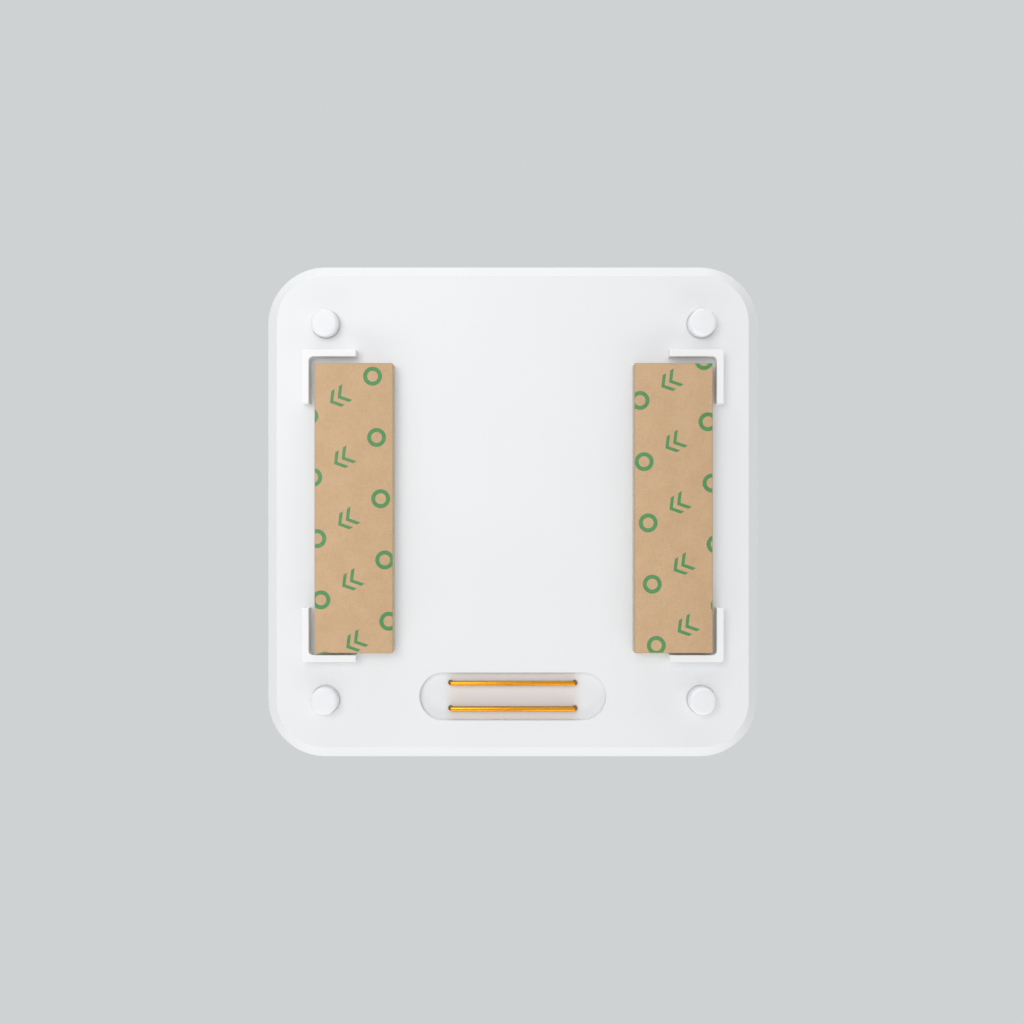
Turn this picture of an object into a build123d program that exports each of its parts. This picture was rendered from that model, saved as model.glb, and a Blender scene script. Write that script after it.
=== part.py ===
from build123d import *
import os

# Battery water leak detector that lies on the floor and senses water between two gold bars.
# Millimetres. +X right, +Y rear, +Z up. Z = 0 is the floor, under the liners of the pads.

# Housing, split at a seam into a base and a lift-off cover
housing_size = 64.0
corner_radius = 7.5
side_wall = 2.0
floor_wall = 1.6
top_wall = 2.0
face_z = 1.9
edge_chamfer = 1.45
edge_round = 0.2
seam_z = 8.6
seam_gap = 0.2
seam_round = 0.15
top_z = 18.0
top_edge_radius = 3.0

# Tongue of the base inside the skirt of the cover
tongue_thickness = 0.9
tongue_height = 1.8
tongue_gap = 0.15
gasket_height = 0.6
gasket_gap = 0.05

# Underside
foot_diameter = 3.5
foot_height = 1.7
foot_edge_radius = 0.45
foot_spacing = 48.55
foot_centre_x = -0.08
foot_stem_diameter = 2.0
foot_stem_length = 0.9
foot_pocket_diameter = 3.8
foot_pocket_depth = 0.2
bracket_span_x = 54.0
bracket_span_y = 40.0
bracket_centre_y = 0.78
bracket_width = 0.88
bracket_arm = 6.9
bracket_height = 1.5
bracket_inner_radius = 0.6
bracket_outer_radius = 0.4
bracket_edge_round = 0.06
pad_width = 10.0
pad_length = 37.0
pad_corner_radius = 0.12
pad_centre_y = 0.48
right_pad_x = 20.29
left_pad_x = -20.51
liner_thickness = 0.1
recess_length = 24.15
recess_width = 6.15
recess_depth = 0.6
recess_y = -23.9
recess_edge_round = 0.05

# Sensing bars, one bent wire each, with a leg at each end
bar_length = 16.8
bar_diameter = 0.65
bar_spacing = 3.3
bar_centre_y = -23.85
bar_rise = 0.85
bar_bend_radius = 0.4
bar_leg_stand = 0.4
leg_hole_clearance = 0.03

# Circuit board and its screws
board_width = 57.0
board_front_y = -28.5
board_rear_y = 4.8
board_corner_cut = 8.0
board_underside_z = 5.7
board_thickness = 1.0
board_leg_hole = 1.0
board_screw_spots = [(-26.0, -16.5), (26.0, -16.5), (-26.0, -3.0), (26.0, -3.0)]
standoff_diameter = 4.4
screw_hole = 2.2
screw_diameter = 1.6
screw_length = 3.2
screw_head_diameter = 3.8
screw_head_height = 1.2
screw_slot_width = 0.5
screw_slot_depth = 0.6
screw_pilot_clearance = 0.05

# Pins of the cover and their sockets in the base
pin_spots = [(-27.2, 26.0), (27.2, 26.0), (-26.2, -26.2), (26.2, -26.2)]
pin_diameter = 1.6
pin_root_diameter = 3.4
pin_length = 4.0
socket_clearance = 0.15
socket_top_z = 9.0
pin_stop_gap = 0.3

# Seal round the legs of the bars
seal_length = 19.4
seal_width = 5.6
seal_height = 1.5
collar_wall = 0.9
collar_clearance = 0.05

# Cells and their holder
cell_diameter = 10.5
cell_length = 44.5
cell_nub_diameter = 3.8
cell_nub_length = 1.0
cell_edge_radius = 0.5
front_cell_y = 11.8
rear_cell_y = 22.95
cell_floor_gap = 0.1
holder_length = 50.0
holder_front_y = 5.4
holder_rear_y = 29.3
holder_floor = 0.8
holder_wall = 0.8
holder_end_wall = 1.0
holder_side_top_z = 11.0
holder_end_top_z = 12.0
holder_rib_top_z = 8.0
holder_rib_width = 0.4
holder_rib_length = 46.0
saddle_spots = (-14.0, 14.0)
saddle_width = 1.5
saddle_top_z = 6.4
saddle_clearance = 0.2
stake_x = 9.0
stake_diameter = 2.0
stake_head_diameter = 3.2
stake_head_height = 0.6
stake_hole_clearance = 0.1
stake_rib_gap = 6.0

# Spring metal of the battery contacts
strip_thickness = 0.3
strip_width = 6.6
tab_front_y = 2.6
tab_rear_y = 4.4
tab_reach = 2.2
neck_top_z = 9.4
neck_slot_margin = 0.2
bump_diameter = 4.2
contact_gap = 0.15
leaf_width = 4.0
leaf_thickness = 0.25
leaf_half_height = 3.0

# Test button, pressed down through the middle of the cover
button_diameter = 10.0
button_height = 1.7
button_top_gap = 0.1
button_dish = 0.2
button_edge_radius = 0.3
button_travel = 0.5
well_clearance = 0.3
well_depth = 3.0
well_floor = 1.0
well_wall = 1.2
well_rim_round = 0.25
stem_diameter = 3.8
stem_bore_diameter = 4.2
stem_boss_diameter = 7.0
stem_boss_length = 1.6
ring_section = 0.75
ring_groove_diameter = 2.6
ring_groove_height = 1.1
ring_groove_drop = 0.9
clip_thickness = 0.35
clip_diameter = 6.0
clip_groove_diameter = 2.8
clip_opening = 2.2
clip_boss_gap = 0.1
return_pad_outer = 9.2
return_pad_inner = 5.2

# Switch under the button
switch_size = 6.0
switch_height = 3.5
switch_edge_chamfer = 0.3
plunger_diameter = 3.4
plunger_rise = 1.0
plunger_depth = 1.2
plunger_clearance = 0.1
switch_gap = 0.25

# Lamp and its light pipe, in front of the button
lamp_y = -9.2
lamp_size = (2.0, 1.25, 0.8)
lamp_gap = 0.3
pipe_diameter = 2.0
pipe_flange_diameter = 3.4
pipe_flange_height = 0.8
pipe_hole_clearance = 0.05
pipe_edge_radius = 0.15

# Sounder, near the front edge, and the vent above it
sounder_y = -18.0
sounder_diameter = 12.0
sounder_height = 6.3
sounder_port_diameter = 2.4
sounder_port_depth = 1.0
sounder_edge_radius = 0.4
sound_hole_diameter = 1.2
sound_hole_circle = 2.3
sound_hole_count = 6
sound_hole_round = 0.15
membrane_diameter = 8.4
membrane_thickness = 0.25
sounder_gasket_inner = 8.8
sounder_gasket_outer = 11.6
sounder_gasket_gap = 0.1

# Electronics on the board
radio_centre = (15.6, -11.0)
radio_size = (16.0, 12.0, 0.8)
shield_centre = (13.2, -11.0)
shield_size = (10.5, 9.5, 1.8)
shield_wall = 0.2
antenna_centre = (21.3, -11.0)
antenna_size = (2.0, 6.0, 1.1)
chip_centre = (-13.0, -8.0)
chip_size = (7.0, 7.0, 0.9)
crystal_centre = (-13.0, -14.6)
crystal_size = (3.2, 1.5, 0.8)
can_capacitor_spot = (-20.5, -19.5)
can_capacitor_diameter = 5.0
can_capacitor_height = 5.4
chip_capacitor_size = (1.6, 0.8, 0.8)
chip_capacitor_spots = [(-19.0, -6.0), (-19.0, -8.5), (-19.0, -11.0), (11.0, -2.0), (15.0, -2.0)]

# Pry notch in the lower edge of the cover, at the rear
notch_width = 12.0
notch_height = 0.8
notch_depth = 0.6

# Worked out from the dimensions above
half_size = housing_size / 2
inner_size = housing_size - 2 * side_wall
inner_radius = corner_radius - side_wall
floor_z = face_z + floor_wall
ceiling_z = top_z - top_wall
tongue_top_z = seam_z + tongue_height
ledge_z = tongue_top_z + gasket_height + gasket_gap
tongue_size = inner_size + 2 * tongue_thickness
tongue_radius = inner_radius + tongue_thickness
skirt_size = tongue_size + 2 * tongue_gap
skirt_radius = tongue_radius + tongue_gap
recess_z = face_z + recess_depth
bar_centre_z = recess_z - bar_rise + bar_diameter / 2
leg_x = bar_length / 2 - bar_diameter / 2
board_top_z = board_underside_z + board_thickness
bar_spots = {
    "rear_contact_bar": bar_centre_y + bar_spacing / 2,
    "front_contact_bar": bar_centre_y - bar_spacing / 2,
}
leg_spots = [(side * leg_x, y) for side in (-1, 1) for y in bar_spots.values()]
foot_offset = foot_spacing / 2
foot_spots = {
    "front_left_foot": (foot_centre_x - foot_offset, -foot_offset),
    "front_right_foot": (foot_centre_x + foot_offset, -foot_offset),
    "rear_left_foot": (foot_centre_x - foot_offset, foot_offset),
    "rear_right_foot": (foot_centre_x + foot_offset, foot_offset),
}
holder_floor_z = floor_z + holder_floor
cell_z = holder_floor_z + cell_floor_gap + cell_diameter / 2
holder_inner_x = holder_length / 2 - holder_end_wall
contact_x = cell_length / 2 + contact_gap
well_floor_z = top_z - well_depth
stem_boss_z = well_floor_z - well_floor - stem_boss_length
button_top_z = top_z - button_top_gap
button_underside_z = button_top_z - button_height
switch_top_z = board_top_z + switch_height
plunger_top_z = switch_top_z + plunger_rise
stem_tip_z = plunger_top_z + switch_gap
clip_top_z = stem_boss_z - clip_boss_gap
ring_z = well_floor_z - ring_groove_drop - ring_groove_height / 2

os.makedirs("parts", exist_ok=True)


def save(builder, name):
    """Label a finished piece and write its STEP file."""
    builder.part.label = name
    export_step(builder.part, f"parts/{name}.step")


# Base shell: dished tray with a tongue round its rim, feet sockets and pad brackets outside
with BuildPart() as base_shell:
    with BuildSketch(Plane.XY.offset(face_z)):
        RectangleRounded(housing_size, housing_size, corner_radius)
    extrude(amount=seam_z - face_z)
    chamfer(base_shell.faces().sort_by(Axis.Z)[0].edges(), edge_chamfer)
    face_loop = base_shell.edges().filter_by_position(Axis.Z, face_z, face_z)
    chamfer_top_z = face_z + edge_chamfer
    outline_loop = base_shell.edges().filter_by_position(Axis.Z, chamfer_top_z, chamfer_top_z)
    fillet(face_loop + outline_loop, edge_round)
    fillet(base_shell.faces().sort_by(Axis.Z)[-1].edges(), seam_round)
    with BuildSketch(Plane.XY.offset(seam_z)):
        RectangleRounded(tongue_size, tongue_size, tongue_radius)
    extrude(amount=tongue_height)
    with BuildSketch(Plane.XY.offset(floor_z)):
        RectangleRounded(inner_size, inner_size, inner_radius)
    extrude(amount=tongue_top_z - floor_z, mode=Mode.SUBTRACT)

    # Recess of the sensing bars and the collar of their seal
    with BuildSketch(Plane.XY.offset(face_z)):
        with Locations((0, recess_y)):
            SlotOverall(recess_length, recess_width)
    extrude(amount=recess_depth, mode=Mode.SUBTRACT)
    face_edges = base_shell.edges().filter_by_position(Axis.Z, face_z, face_z)
    rim = face_edges.filter_by_position(Axis.Y, recess_y - recess_width / 2, recess_y + recess_width / 2)
    fillet(rim.filter_by_position(Axis.X, -recess_length / 2, recess_length / 2), recess_edge_round)
    with BuildSketch(Plane.XY.offset(floor_z)):
        with Locations((0, recess_y)):
            SlotOverall(seal_length + 2 * collar_wall, seal_width + 2 * collar_wall)
            SlotOverall(seal_length, seal_width, mode=Mode.SUBTRACT)
    extrude(amount=seal_height)
    with BuildSketch(Plane.XY.offset(face_z)):
        with Locations(*leg_spots):
            Circle(bar_diameter / 2 + leg_hole_clearance)
    extrude(amount=floor_wall, mode=Mode.SUBTRACT)

    # Sockets of the feet, each with a shallow pocket round its mouth
    with BuildSketch(Plane.XY.offset(face_z)):
        with Locations(*foot_spots.values()):
            Circle(foot_stem_diameter / 2)
    extrude(amount=foot_stem_length, mode=Mode.SUBTRACT)
    with BuildSketch(Plane.XY.offset(face_z)):
        with Locations(*foot_spots.values()):
            Circle(foot_pocket_diameter / 2)
    extrude(amount=foot_pocket_depth, mode=Mode.SUBTRACT)

    # Corner brackets that the two pads are laid between
    for side_x in (-1, 1):
        for side_y in (-1, 1):
            corner_x = side_x * bracket_span_x / 2
            corner_y = bracket_centre_y + side_y * bracket_span_y / 2
            steps = [(0, 0), (bracket_arm, 0), (bracket_arm, bracket_width), (bracket_width, bracket_width),
                     (bracket_width, bracket_arm), (0, bracket_arm)]
            with BuildSketch(Plane.XY.offset(face_z)) as bracket:
                with BuildLine():
                    Polyline([(corner_x - side_x * x, corner_y - side_y * y) for x, y in steps], close=True)
                make_face()
                by_reach = bracket.vertices().sort_by_distance((corner_x, corner_y))
                fillet(by_reach[1], bracket_inner_radius)
                by_reach = bracket.vertices().sort_by_distance((corner_x, corner_y))
                fillet(by_reach[0], bracket_outer_radius)
            extrude(amount=-bracket_height)
    fillet(base_shell.faces().group_by(Axis.Z)[0].edges(), bracket_edge_round)

    # Standoffs of the board, sockets of the cover's pins and stakes of the holder
    with BuildSketch(Plane.XY.offset(floor_z)):
        with Locations(*board_screw_spots):
            Circle(standoff_diameter / 2)
            Circle(screw_diameter / 2 + screw_pilot_clearance, mode=Mode.SUBTRACT)
    extrude(amount=board_underside_z - floor_z)
    with BuildSketch(Plane.XY.offset(floor_z)):
        with Locations(*pin_spots):
            Circle(pin_root_diameter / 2)
            Circle(pin_diameter / 2 + socket_clearance, mode=Mode.SUBTRACT)
    extrude(amount=socket_top_z - floor_z)
    with BuildSketch(Plane.XY.offset(floor_z)):
        with Locations((-stake_x, (front_cell_y + rear_cell_y) / 2), (stake_x, (front_cell_y + rear_cell_y) / 2)):
            Circle(stake_diameter / 2)
    extrude(amount=holder_floor)
    with BuildSketch(Plane.XY.offset(holder_floor_z)):
        with Locations((-stake_x, (front_cell_y + rear_cell_y) / 2), (stake_x, (front_cell_y + rear_cell_y) / 2)):
            Circle(stake_head_diameter / 2)
    extrude(amount=stake_head_height)
save(base_shell, "base_shell")

# Top cover: cap with a rebated skirt, the well of the button and four pins under its roof
with BuildPart() as top_cover:
    with BuildSketch(Plane.XY.offset(seam_z + seam_gap)):
        RectangleRounded(housing_size, housing_size, corner_radius)
    extrude(amount=top_z - seam_z - seam_gap)
    fillet(top_cover.faces().sort_by(Axis.Z)[-1].edges(), top_edge_radius)
    fillet(top_cover.faces().sort_by(Axis.Z)[0].edges(), seam_round)
    with BuildSketch(Plane.XY.offset(seam_z + seam_gap)):
        RectangleRounded(inner_size, inner_size, inner_radius)
    extrude(amount=ceiling_z - seam_z - seam_gap, mode=Mode.SUBTRACT)
    with BuildSketch(Plane.XY.offset(seam_z + seam_gap)):
        RectangleRounded(skirt_size, skirt_size, skirt_radius)
    extrude(amount=ledge_z - seam_z - seam_gap, mode=Mode.SUBTRACT)
    with BuildSketch(Plane.XY.offset(ceiling_z)):
        Circle(button_diameter / 2 + well_clearance + well_wall)
    extrude(amount=-(ceiling_z - well_floor_z + well_floor))
    with BuildSketch(Plane.XY.offset(well_floor_z)):
        Circle(stem_boss_diameter / 2)
    extrude(amount=stem_boss_z - well_floor_z)
    with BuildSketch(Plane.XY.offset(top_z)):
        Circle(button_diameter / 2 + well_clearance)
    extrude(amount=-well_depth, mode=Mode.SUBTRACT)
    with BuildSketch(Plane.XY.offset(top_z)):
        Circle(stem_bore_diameter / 2)
    extrude(amount=stem_boss_z - top_z, mode=Mode.SUBTRACT)
    with BuildSketch(Plane.XY.offset(top_z)):
        with Locations((0, lamp_y)):
            Circle(pipe_diameter / 2 + pipe_hole_clearance)
        with Locations((0, sounder_y)):
            Circle(sound_hole_diameter / 2)
            with PolarLocations(sound_hole_circle, sound_hole_count):
                Circle(sound_hole_diameter / 2)
    extrude(amount=-top_wall, mode=Mode.SUBTRACT)
    top_rims = top_cover.edges().filter_by(GeomType.CIRCLE).filter_by_position(Axis.Z, top_z, top_z)
    fillet(top_rims.group_by(SortBy.RADIUS)[0], sound_hole_round)
    top_rims = top_cover.edges().filter_by(GeomType.CIRCLE).filter_by_position(Axis.Z, top_z, top_z)
    fillet(top_rims.group_by(SortBy.RADIUS)[-1], well_rim_round)
    with BuildSketch(Plane.XY.offset(ceiling_z)):
        with Locations(*pin_spots):
            Circle(pin_root_diameter / 2)
    extrude(amount=socket_top_z + pin_stop_gap - ceiling_z)
    with BuildSketch(Plane.XY.offset(socket_top_z + pin_stop_gap)):
        with Locations(*pin_spots):
            Circle(pin_diameter / 2)
    extrude(amount=-pin_length)
    with BuildSketch(Plane.XY.offset(seam_z + seam_gap)):
        with Locations((0, half_size)):
            Rectangle(notch_width, 2 * notch_depth)
    extrude(amount=notch_height, mode=Mode.SUBTRACT)
save(top_cover, "top_cover")

# Gasket: flat silicone ring on top of the tongue, under the ledge of the cover
with BuildPart() as cover_gasket:
    with BuildSketch(Plane.XY.offset(tongue_top_z)):
        RectangleRounded(tongue_size, tongue_size, tongue_radius)
        RectangleRounded(inner_size, inner_size, inner_radius, mode=Mode.SUBTRACT)
    extrude(amount=gasket_height)
save(cover_gasket, "cover_gasket")

# Feet: low silicone buttons with a stem pressed into the base
for foot_name, foot_spot in foot_spots.items():
    with BuildPart() as foot:
        with BuildSketch(Plane.XY.offset(face_z + foot_pocket_depth)):
            with Locations(foot_spot):
                Circle(foot_diameter / 2)
        extrude(amount=-foot_pocket_depth - foot_height)
        fillet(foot.faces().sort_by(Axis.Z)[0].edges(), foot_edge_radius)
        with BuildSketch(Plane.XY.offset(face_z)):
            with Locations(foot_spot):
                Circle(foot_stem_diameter / 2)
        extrude(amount=foot_stem_length)
    save(foot, foot_name)

# Adhesive pads and the paper liners that cover them, which touch the floor
for pad_side, pad_x in (("left", left_pad_x), ("right", right_pad_x)):
    with BuildPart() as adhesive_pad:
        with BuildSketch(Plane.XY.offset(liner_thickness)):
            with Locations((pad_x, pad_centre_y)):
                RectangleRounded(pad_width, pad_length, pad_corner_radius)
        extrude(amount=face_z - liner_thickness)
    save(adhesive_pad, f"{pad_side}_adhesive_pad")
    with BuildPart() as release_liner:
        with BuildSketch():
            with Locations((pad_x, pad_centre_y)):
                RectangleRounded(pad_width, pad_length, pad_corner_radius)
        extrude(amount=liner_thickness)
    save(release_liner, f"{pad_side}_release_liner")

# Sensing bars: round wire bent to a staple, whose legs reach the board
for bar_name, bar_y in bar_spots.items():
    with BuildPart() as contact_bar:
        with BuildLine(Plane.XZ.offset(-bar_y)) as bar_path:
            leg_top_z = board_top_z + bar_leg_stand
            FilletPolyline(
                (-leg_x, leg_top_z), (-leg_x, bar_centre_z), (leg_x, bar_centre_z), (leg_x, leg_top_z),
                radius=bar_bend_radius,
            )
        with BuildSketch(Plane(origin=bar_path.line @ 0, z_dir=bar_path.line % 0)):
            Circle(bar_diameter / 2)
        sweep()
    save(contact_bar, bar_name)

# Seal: silicone bung in the collar, with the four legs through it
with BuildPart() as contact_seal:
    with BuildSketch(Plane.XY.offset(floor_z)):
        with Locations((0, recess_y)):
            SlotOverall(seal_length - 2 * collar_clearance, seal_width - 2 * collar_clearance)
        with Locations(*leg_spots):
            Circle(bar_diameter / 2 + leg_hole_clearance, mode=Mode.SUBTRACT)
    extrude(amount=seal_height)
save(contact_seal, "contact_seal")

# Circuit board, with its front corners cut off round the pins
with BuildPart() as circuit_board:
    with BuildSketch(Plane.XY.offset(board_underside_z)) as board_outline:
        with Locations((0, (board_front_y + board_rear_y) / 2)):
            Rectangle(board_width, board_rear_y - board_front_y)
        chamfer(board_outline.vertices().group_by(Axis.Y)[0], board_corner_cut)
        with Locations(*board_screw_spots):
            Circle(screw_hole / 2, mode=Mode.SUBTRACT)
        with Locations(*leg_spots):
            Circle(board_leg_hole / 2, mode=Mode.SUBTRACT)
    extrude(amount=board_thickness)
save(circuit_board, "circuit_board")

# Board screws: cross-slotted pan heads
with BuildPart() as board_screws:
    with BuildSketch(Plane.XY.offset(board_top_z)):
        with Locations(*board_screw_spots):
            Circle(screw_head_diameter / 2)
    extrude(amount=screw_head_height)
    chamfer(board_screws.faces().group_by(Axis.Z)[-1].edges(), screw_slot_width / 2)
    with BuildSketch(Plane.XY.offset(board_top_z)):
        with Locations(*board_screw_spots):
            Circle(screw_diameter / 2)
    extrude(amount=-screw_length)
    with BuildSketch(Plane.XY.offset(board_top_z + screw_head_height)):
        with Locations(*board_screw_spots):
            Rectangle(screw_head_diameter / 2, screw_slot_width)
            Rectangle(screw_slot_width, screw_head_diameter / 2)
    extrude(amount=-screw_slot_depth, mode=Mode.SUBTRACT)
save(board_screws, "board_screws")

# Battery holder: open tray for two cells side by side, staked to the base
holder_depth = holder_rear_y - holder_front_y
holder_y = (holder_rear_y + holder_front_y) / 2
between_cells_y = (front_cell_y + rear_cell_y) / 2
with BuildPart() as battery_holder:
    with BuildSketch(Plane.XY.offset(floor_z)):
        with Locations((0, holder_y)):
            Rectangle(holder_length, holder_depth)
    extrude(amount=holder_end_top_z - floor_z)
    with BuildSketch(Plane.XY.offset(holder_floor_z)):
        with Locations((0, holder_y)):
            Rectangle(2 * holder_inner_x, holder_depth - 2 * holder_wall)
    extrude(amount=holder_end_top_z - holder_floor_z, mode=Mode.SUBTRACT)
    with BuildSketch(Plane.XY.offset(holder_side_top_z)):
        with Locations((0, holder_y)):
            Rectangle(2 * holder_inner_x, holder_depth)
    extrude(amount=holder_end_top_z - holder_side_top_z, mode=Mode.SUBTRACT)
    with BuildSketch(Plane.XY.offset(holder_floor_z)):
        with Locations((0, between_cells_y)):
            Rectangle(holder_rib_length, holder_rib_width)
        with Locations((-stake_x, between_cells_y), (stake_x, between_cells_y)):
            Rectangle(stake_rib_gap, holder_rib_width, mode=Mode.SUBTRACT)
    extrude(amount=holder_rib_top_z - holder_floor_z)
    for saddle_x in saddle_spots:
        with BuildSketch(Plane.YZ.offset(saddle_x - saddle_width / 2)):
            with Locations((holder_y, (holder_floor_z + saddle_top_z) / 2)):
                Rectangle(holder_depth - 2 * holder_wall, saddle_top_z - holder_floor_z)
            with Locations((front_cell_y, cell_z), (rear_cell_y, cell_z)):
                Circle(cell_diameter / 2 + saddle_clearance, mode=Mode.SUBTRACT)
        extrude(amount=saddle_width)
    with BuildSketch(Plane.XY.offset(floor_z)):
        with Locations((-stake_x, between_cells_y), (stake_x, between_cells_y)):
            Circle(stake_diameter / 2 + stake_hole_clearance)
    extrude(amount=holder_floor, mode=Mode.SUBTRACT)
    with BuildSketch(Plane.XZ.offset(-holder_front_y)):
        with Locations((-holder_inner_x + strip_thickness / 2, (board_top_z + neck_top_z) / 2)):
            Rectangle(strip_thickness + 2 * neck_slot_margin, neck_top_z - board_top_z + 2 * neck_slot_margin)
    extrude(amount=-holder_wall, mode=Mode.SUBTRACT)
save(battery_holder, "battery_holder")

# Positive terminal: plate and bump at the left end of the front cell, with a tab on the board
with BuildPart() as positive_terminal:
    with BuildSketch(Plane.YZ.offset(-holder_inner_x)):
        with Locations((front_cell_y, cell_z)):
            Rectangle(strip_width, strip_width)
        with Locations((tab_front_y, board_top_z)):
            Rectangle(front_cell_y - tab_front_y, neck_top_z - board_top_z, align=(Align.MIN, Align.MIN))
    extrude(amount=strip_thickness)
    with BuildSketch(Plane.YZ.offset(-holder_inner_x)):
        with Locations((front_cell_y, cell_z)):
            Circle(bump_diameter / 2)
    extrude(amount=holder_inner_x - contact_x)
    fillet(positive_terminal.edges().group_by(Axis.X)[-1], strip_thickness)
    with BuildSketch(Plane.XY.offset(board_top_z)):
        with Locations((-holder_inner_x, tab_front_y)):
            Rectangle(tab_reach, tab_rear_y - tab_front_y, align=(Align.MIN, Align.MIN))
    extrude(amount=strip_thickness)
save(positive_terminal, "positive_terminal")

# Negative terminal: bowed leaf at the left end of the rear cell, hooked over the holder's end
# wall and led forward outside it to its own tab
outer_strip_x = -holder_length / 2 - strip_thickness
leaf_rear_y = rear_cell_y + leaf_width / 2
leaf_front_y = rear_cell_y - leaf_width / 2
with BuildPart() as negative_terminal:
    with BuildSketch(Plane.XZ.offset(-leaf_rear_y)):
        with BuildLine():
            leaf_outside = ThreePointArc(
                (-holder_inner_x + strip_thickness, cell_z - leaf_half_height),
                (-contact_x, cell_z),
                (-holder_inner_x + strip_thickness, cell_z + leaf_half_height),
            )
            leaf_inside = ThreePointArc(
                (-holder_inner_x + strip_thickness, cell_z + leaf_half_height - 2 * leaf_thickness),
                (-contact_x - leaf_thickness, cell_z),
                (-holder_inner_x + strip_thickness, cell_z - leaf_half_height + 2 * leaf_thickness),
            )
            Line(leaf_outside @ 1, leaf_inside @ 0)
            Line(leaf_inside @ 1, leaf_outside @ 0)
        make_face()
        with Locations((-holder_inner_x, cell_z - leaf_half_height)):
            Rectangle(
                strip_thickness, holder_end_top_z + strip_thickness - cell_z + leaf_half_height,
                align=(Align.MIN, Align.MIN),
            )
        with Locations((outer_strip_x, holder_end_top_z)):
            Rectangle(holder_end_wall + 2 * strip_thickness, strip_thickness, align=(Align.MIN, Align.MIN))
        with Locations((outer_strip_x, board_top_z)):
            Rectangle(strip_thickness, holder_end_top_z - board_top_z, align=(Align.MIN, Align.MIN))
    extrude(amount=leaf_width)
    with BuildSketch(Plane.YZ.offset(outer_strip_x)):
        with Locations((tab_front_y, board_top_z)):
            Rectangle(leaf_front_y - tab_front_y, neck_top_z - board_top_z, align=(Align.MIN, Align.MIN))
    extrude(amount=strip_thickness)
    with BuildSketch(Plane.XY.offset(board_top_z)):
        with Locations((outer_strip_x + strip_thickness, tab_front_y)):
            Rectangle(tab_reach, tab_rear_y - tab_front_y, align=(Align.MAX, Align.MIN))
    extrude(amount=strip_thickness)
save(negative_terminal, "negative_terminal")

# Bridge contact: one plate at the right ends, with a leaf for the front cell and a bump for the rear
with BuildPart() as bridge_contact:
    with BuildSketch(Plane.YZ.offset(holder_inner_x - strip_thickness)):
        with Locations((between_cells_y, cell_z)):
            Rectangle(rear_cell_y - front_cell_y + strip_width, strip_width)
    extrude(amount=strip_thickness)
    with BuildSketch(Plane.YZ.offset(contact_x)):
        with Locations((rear_cell_y, cell_z)):
            Circle(bump_diameter / 2)
    extrude(amount=holder_inner_x - contact_x)
    fillet(bridge_contact.edges().group_by(Axis.X)[0], strip_thickness)
    with BuildSketch(Plane.XZ.offset(-front_cell_y - leaf_width / 2)):
        with BuildLine():
            leaf_outside = ThreePointArc(
                (holder_inner_x - strip_thickness, cell_z - leaf_half_height),
                (contact_x, cell_z),
                (holder_inner_x - strip_thickness, cell_z + leaf_half_height),
            )
            leaf_inside = ThreePointArc(
                (holder_inner_x - strip_thickness, cell_z + leaf_half_height - 2 * leaf_thickness),
                (contact_x + leaf_thickness, cell_z),
                (holder_inner_x - strip_thickness, cell_z - leaf_half_height + 2 * leaf_thickness),
            )
            Line(leaf_outside @ 1, leaf_inside @ 0)
            Line(leaf_inside @ 1, leaf_outside @ 0)
        make_face()
    extrude(amount=leaf_width)
save(bridge_contact, "bridge_contact")

# Cells: two of the small round size, head to tail
for cell_name, cell_y, nub_side in (("front_cell", front_cell_y, -1), ("rear_cell", rear_cell_y, 1)):
    nub_face_x = nub_side * (cell_length / 2 - cell_nub_length)
    with BuildPart() as cell:
        with BuildSketch(Plane.YZ.offset(-nub_side * cell_length / 2)):
            with Locations((cell_y, cell_z)):
                Circle(cell_diameter / 2)
        extrude(amount=nub_side * (cell_length - cell_nub_length))
        fillet(cell.edges().filter_by(GeomType.CIRCLE), cell_edge_radius)
        with BuildSketch(Plane.YZ.offset(nub_face_x)):
            with Locations((cell_y, cell_z)):
                Circle(cell_nub_diameter / 2)
        extrude(amount=nub_side * cell_nub_length)
    save(cell, cell_name)

# Button: dished cap on a stem, with grooves for the ring and the clip
cap_radius = button_diameter / 2
stem_radius = stem_diameter / 2
with BuildPart() as button_cap:
    with BuildSketch(Plane.XZ):
        with BuildLine():
            dish = ThreePointArc(
                (0, button_top_z - button_dish),
                (cap_radius / 2, button_top_z - 0.75 * button_dish),
                (cap_radius - button_edge_radius, button_top_z),
            )
            Polyline(
                dish @ 1,
                (cap_radius, button_top_z - button_edge_radius),
                (cap_radius, button_underside_z),
                (stem_radius, button_underside_z),
                (stem_radius, ring_z + ring_groove_height / 2),
                (ring_groove_diameter / 2, ring_z + ring_groove_height / 2),
                (ring_groove_diameter / 2, ring_z - ring_groove_height / 2),
                (stem_radius, ring_z - ring_groove_height / 2),
                (stem_radius, clip_top_z),
                (clip_groove_diameter / 2, clip_top_z),
                (clip_groove_diameter / 2, clip_top_z - clip_thickness),
                (stem_radius, clip_top_z - clip_thickness),
                (stem_radius, stem_tip_z),
                (0, stem_tip_z),
                dish @ 0,
            )
        make_face()
    revolve(axis=Axis.Z)
save(button_cap, "button_cap")

# Ring seal in the upper groove of the stem
with BuildPart() as button_ring_seal:
    with Locations((0, 0, ring_z)):
        Torus(ring_groove_diameter / 2 + ring_section / 2, ring_section / 2)
save(button_ring_seal, "button_ring_seal")

# Retaining clip in the lower groove, open on one side
with BuildPart() as button_clip:
    with BuildSketch(Plane.XY.offset(clip_top_z)):
        Circle(clip_diameter / 2)
        Circle(clip_groove_diameter / 2, mode=Mode.SUBTRACT)
        with Locations((0, -clip_diameter / 4)):
            Rectangle(clip_opening, clip_diameter / 2, mode=Mode.SUBTRACT)
    extrude(amount=-clip_thickness)
save(button_clip, "button_clip")

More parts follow.
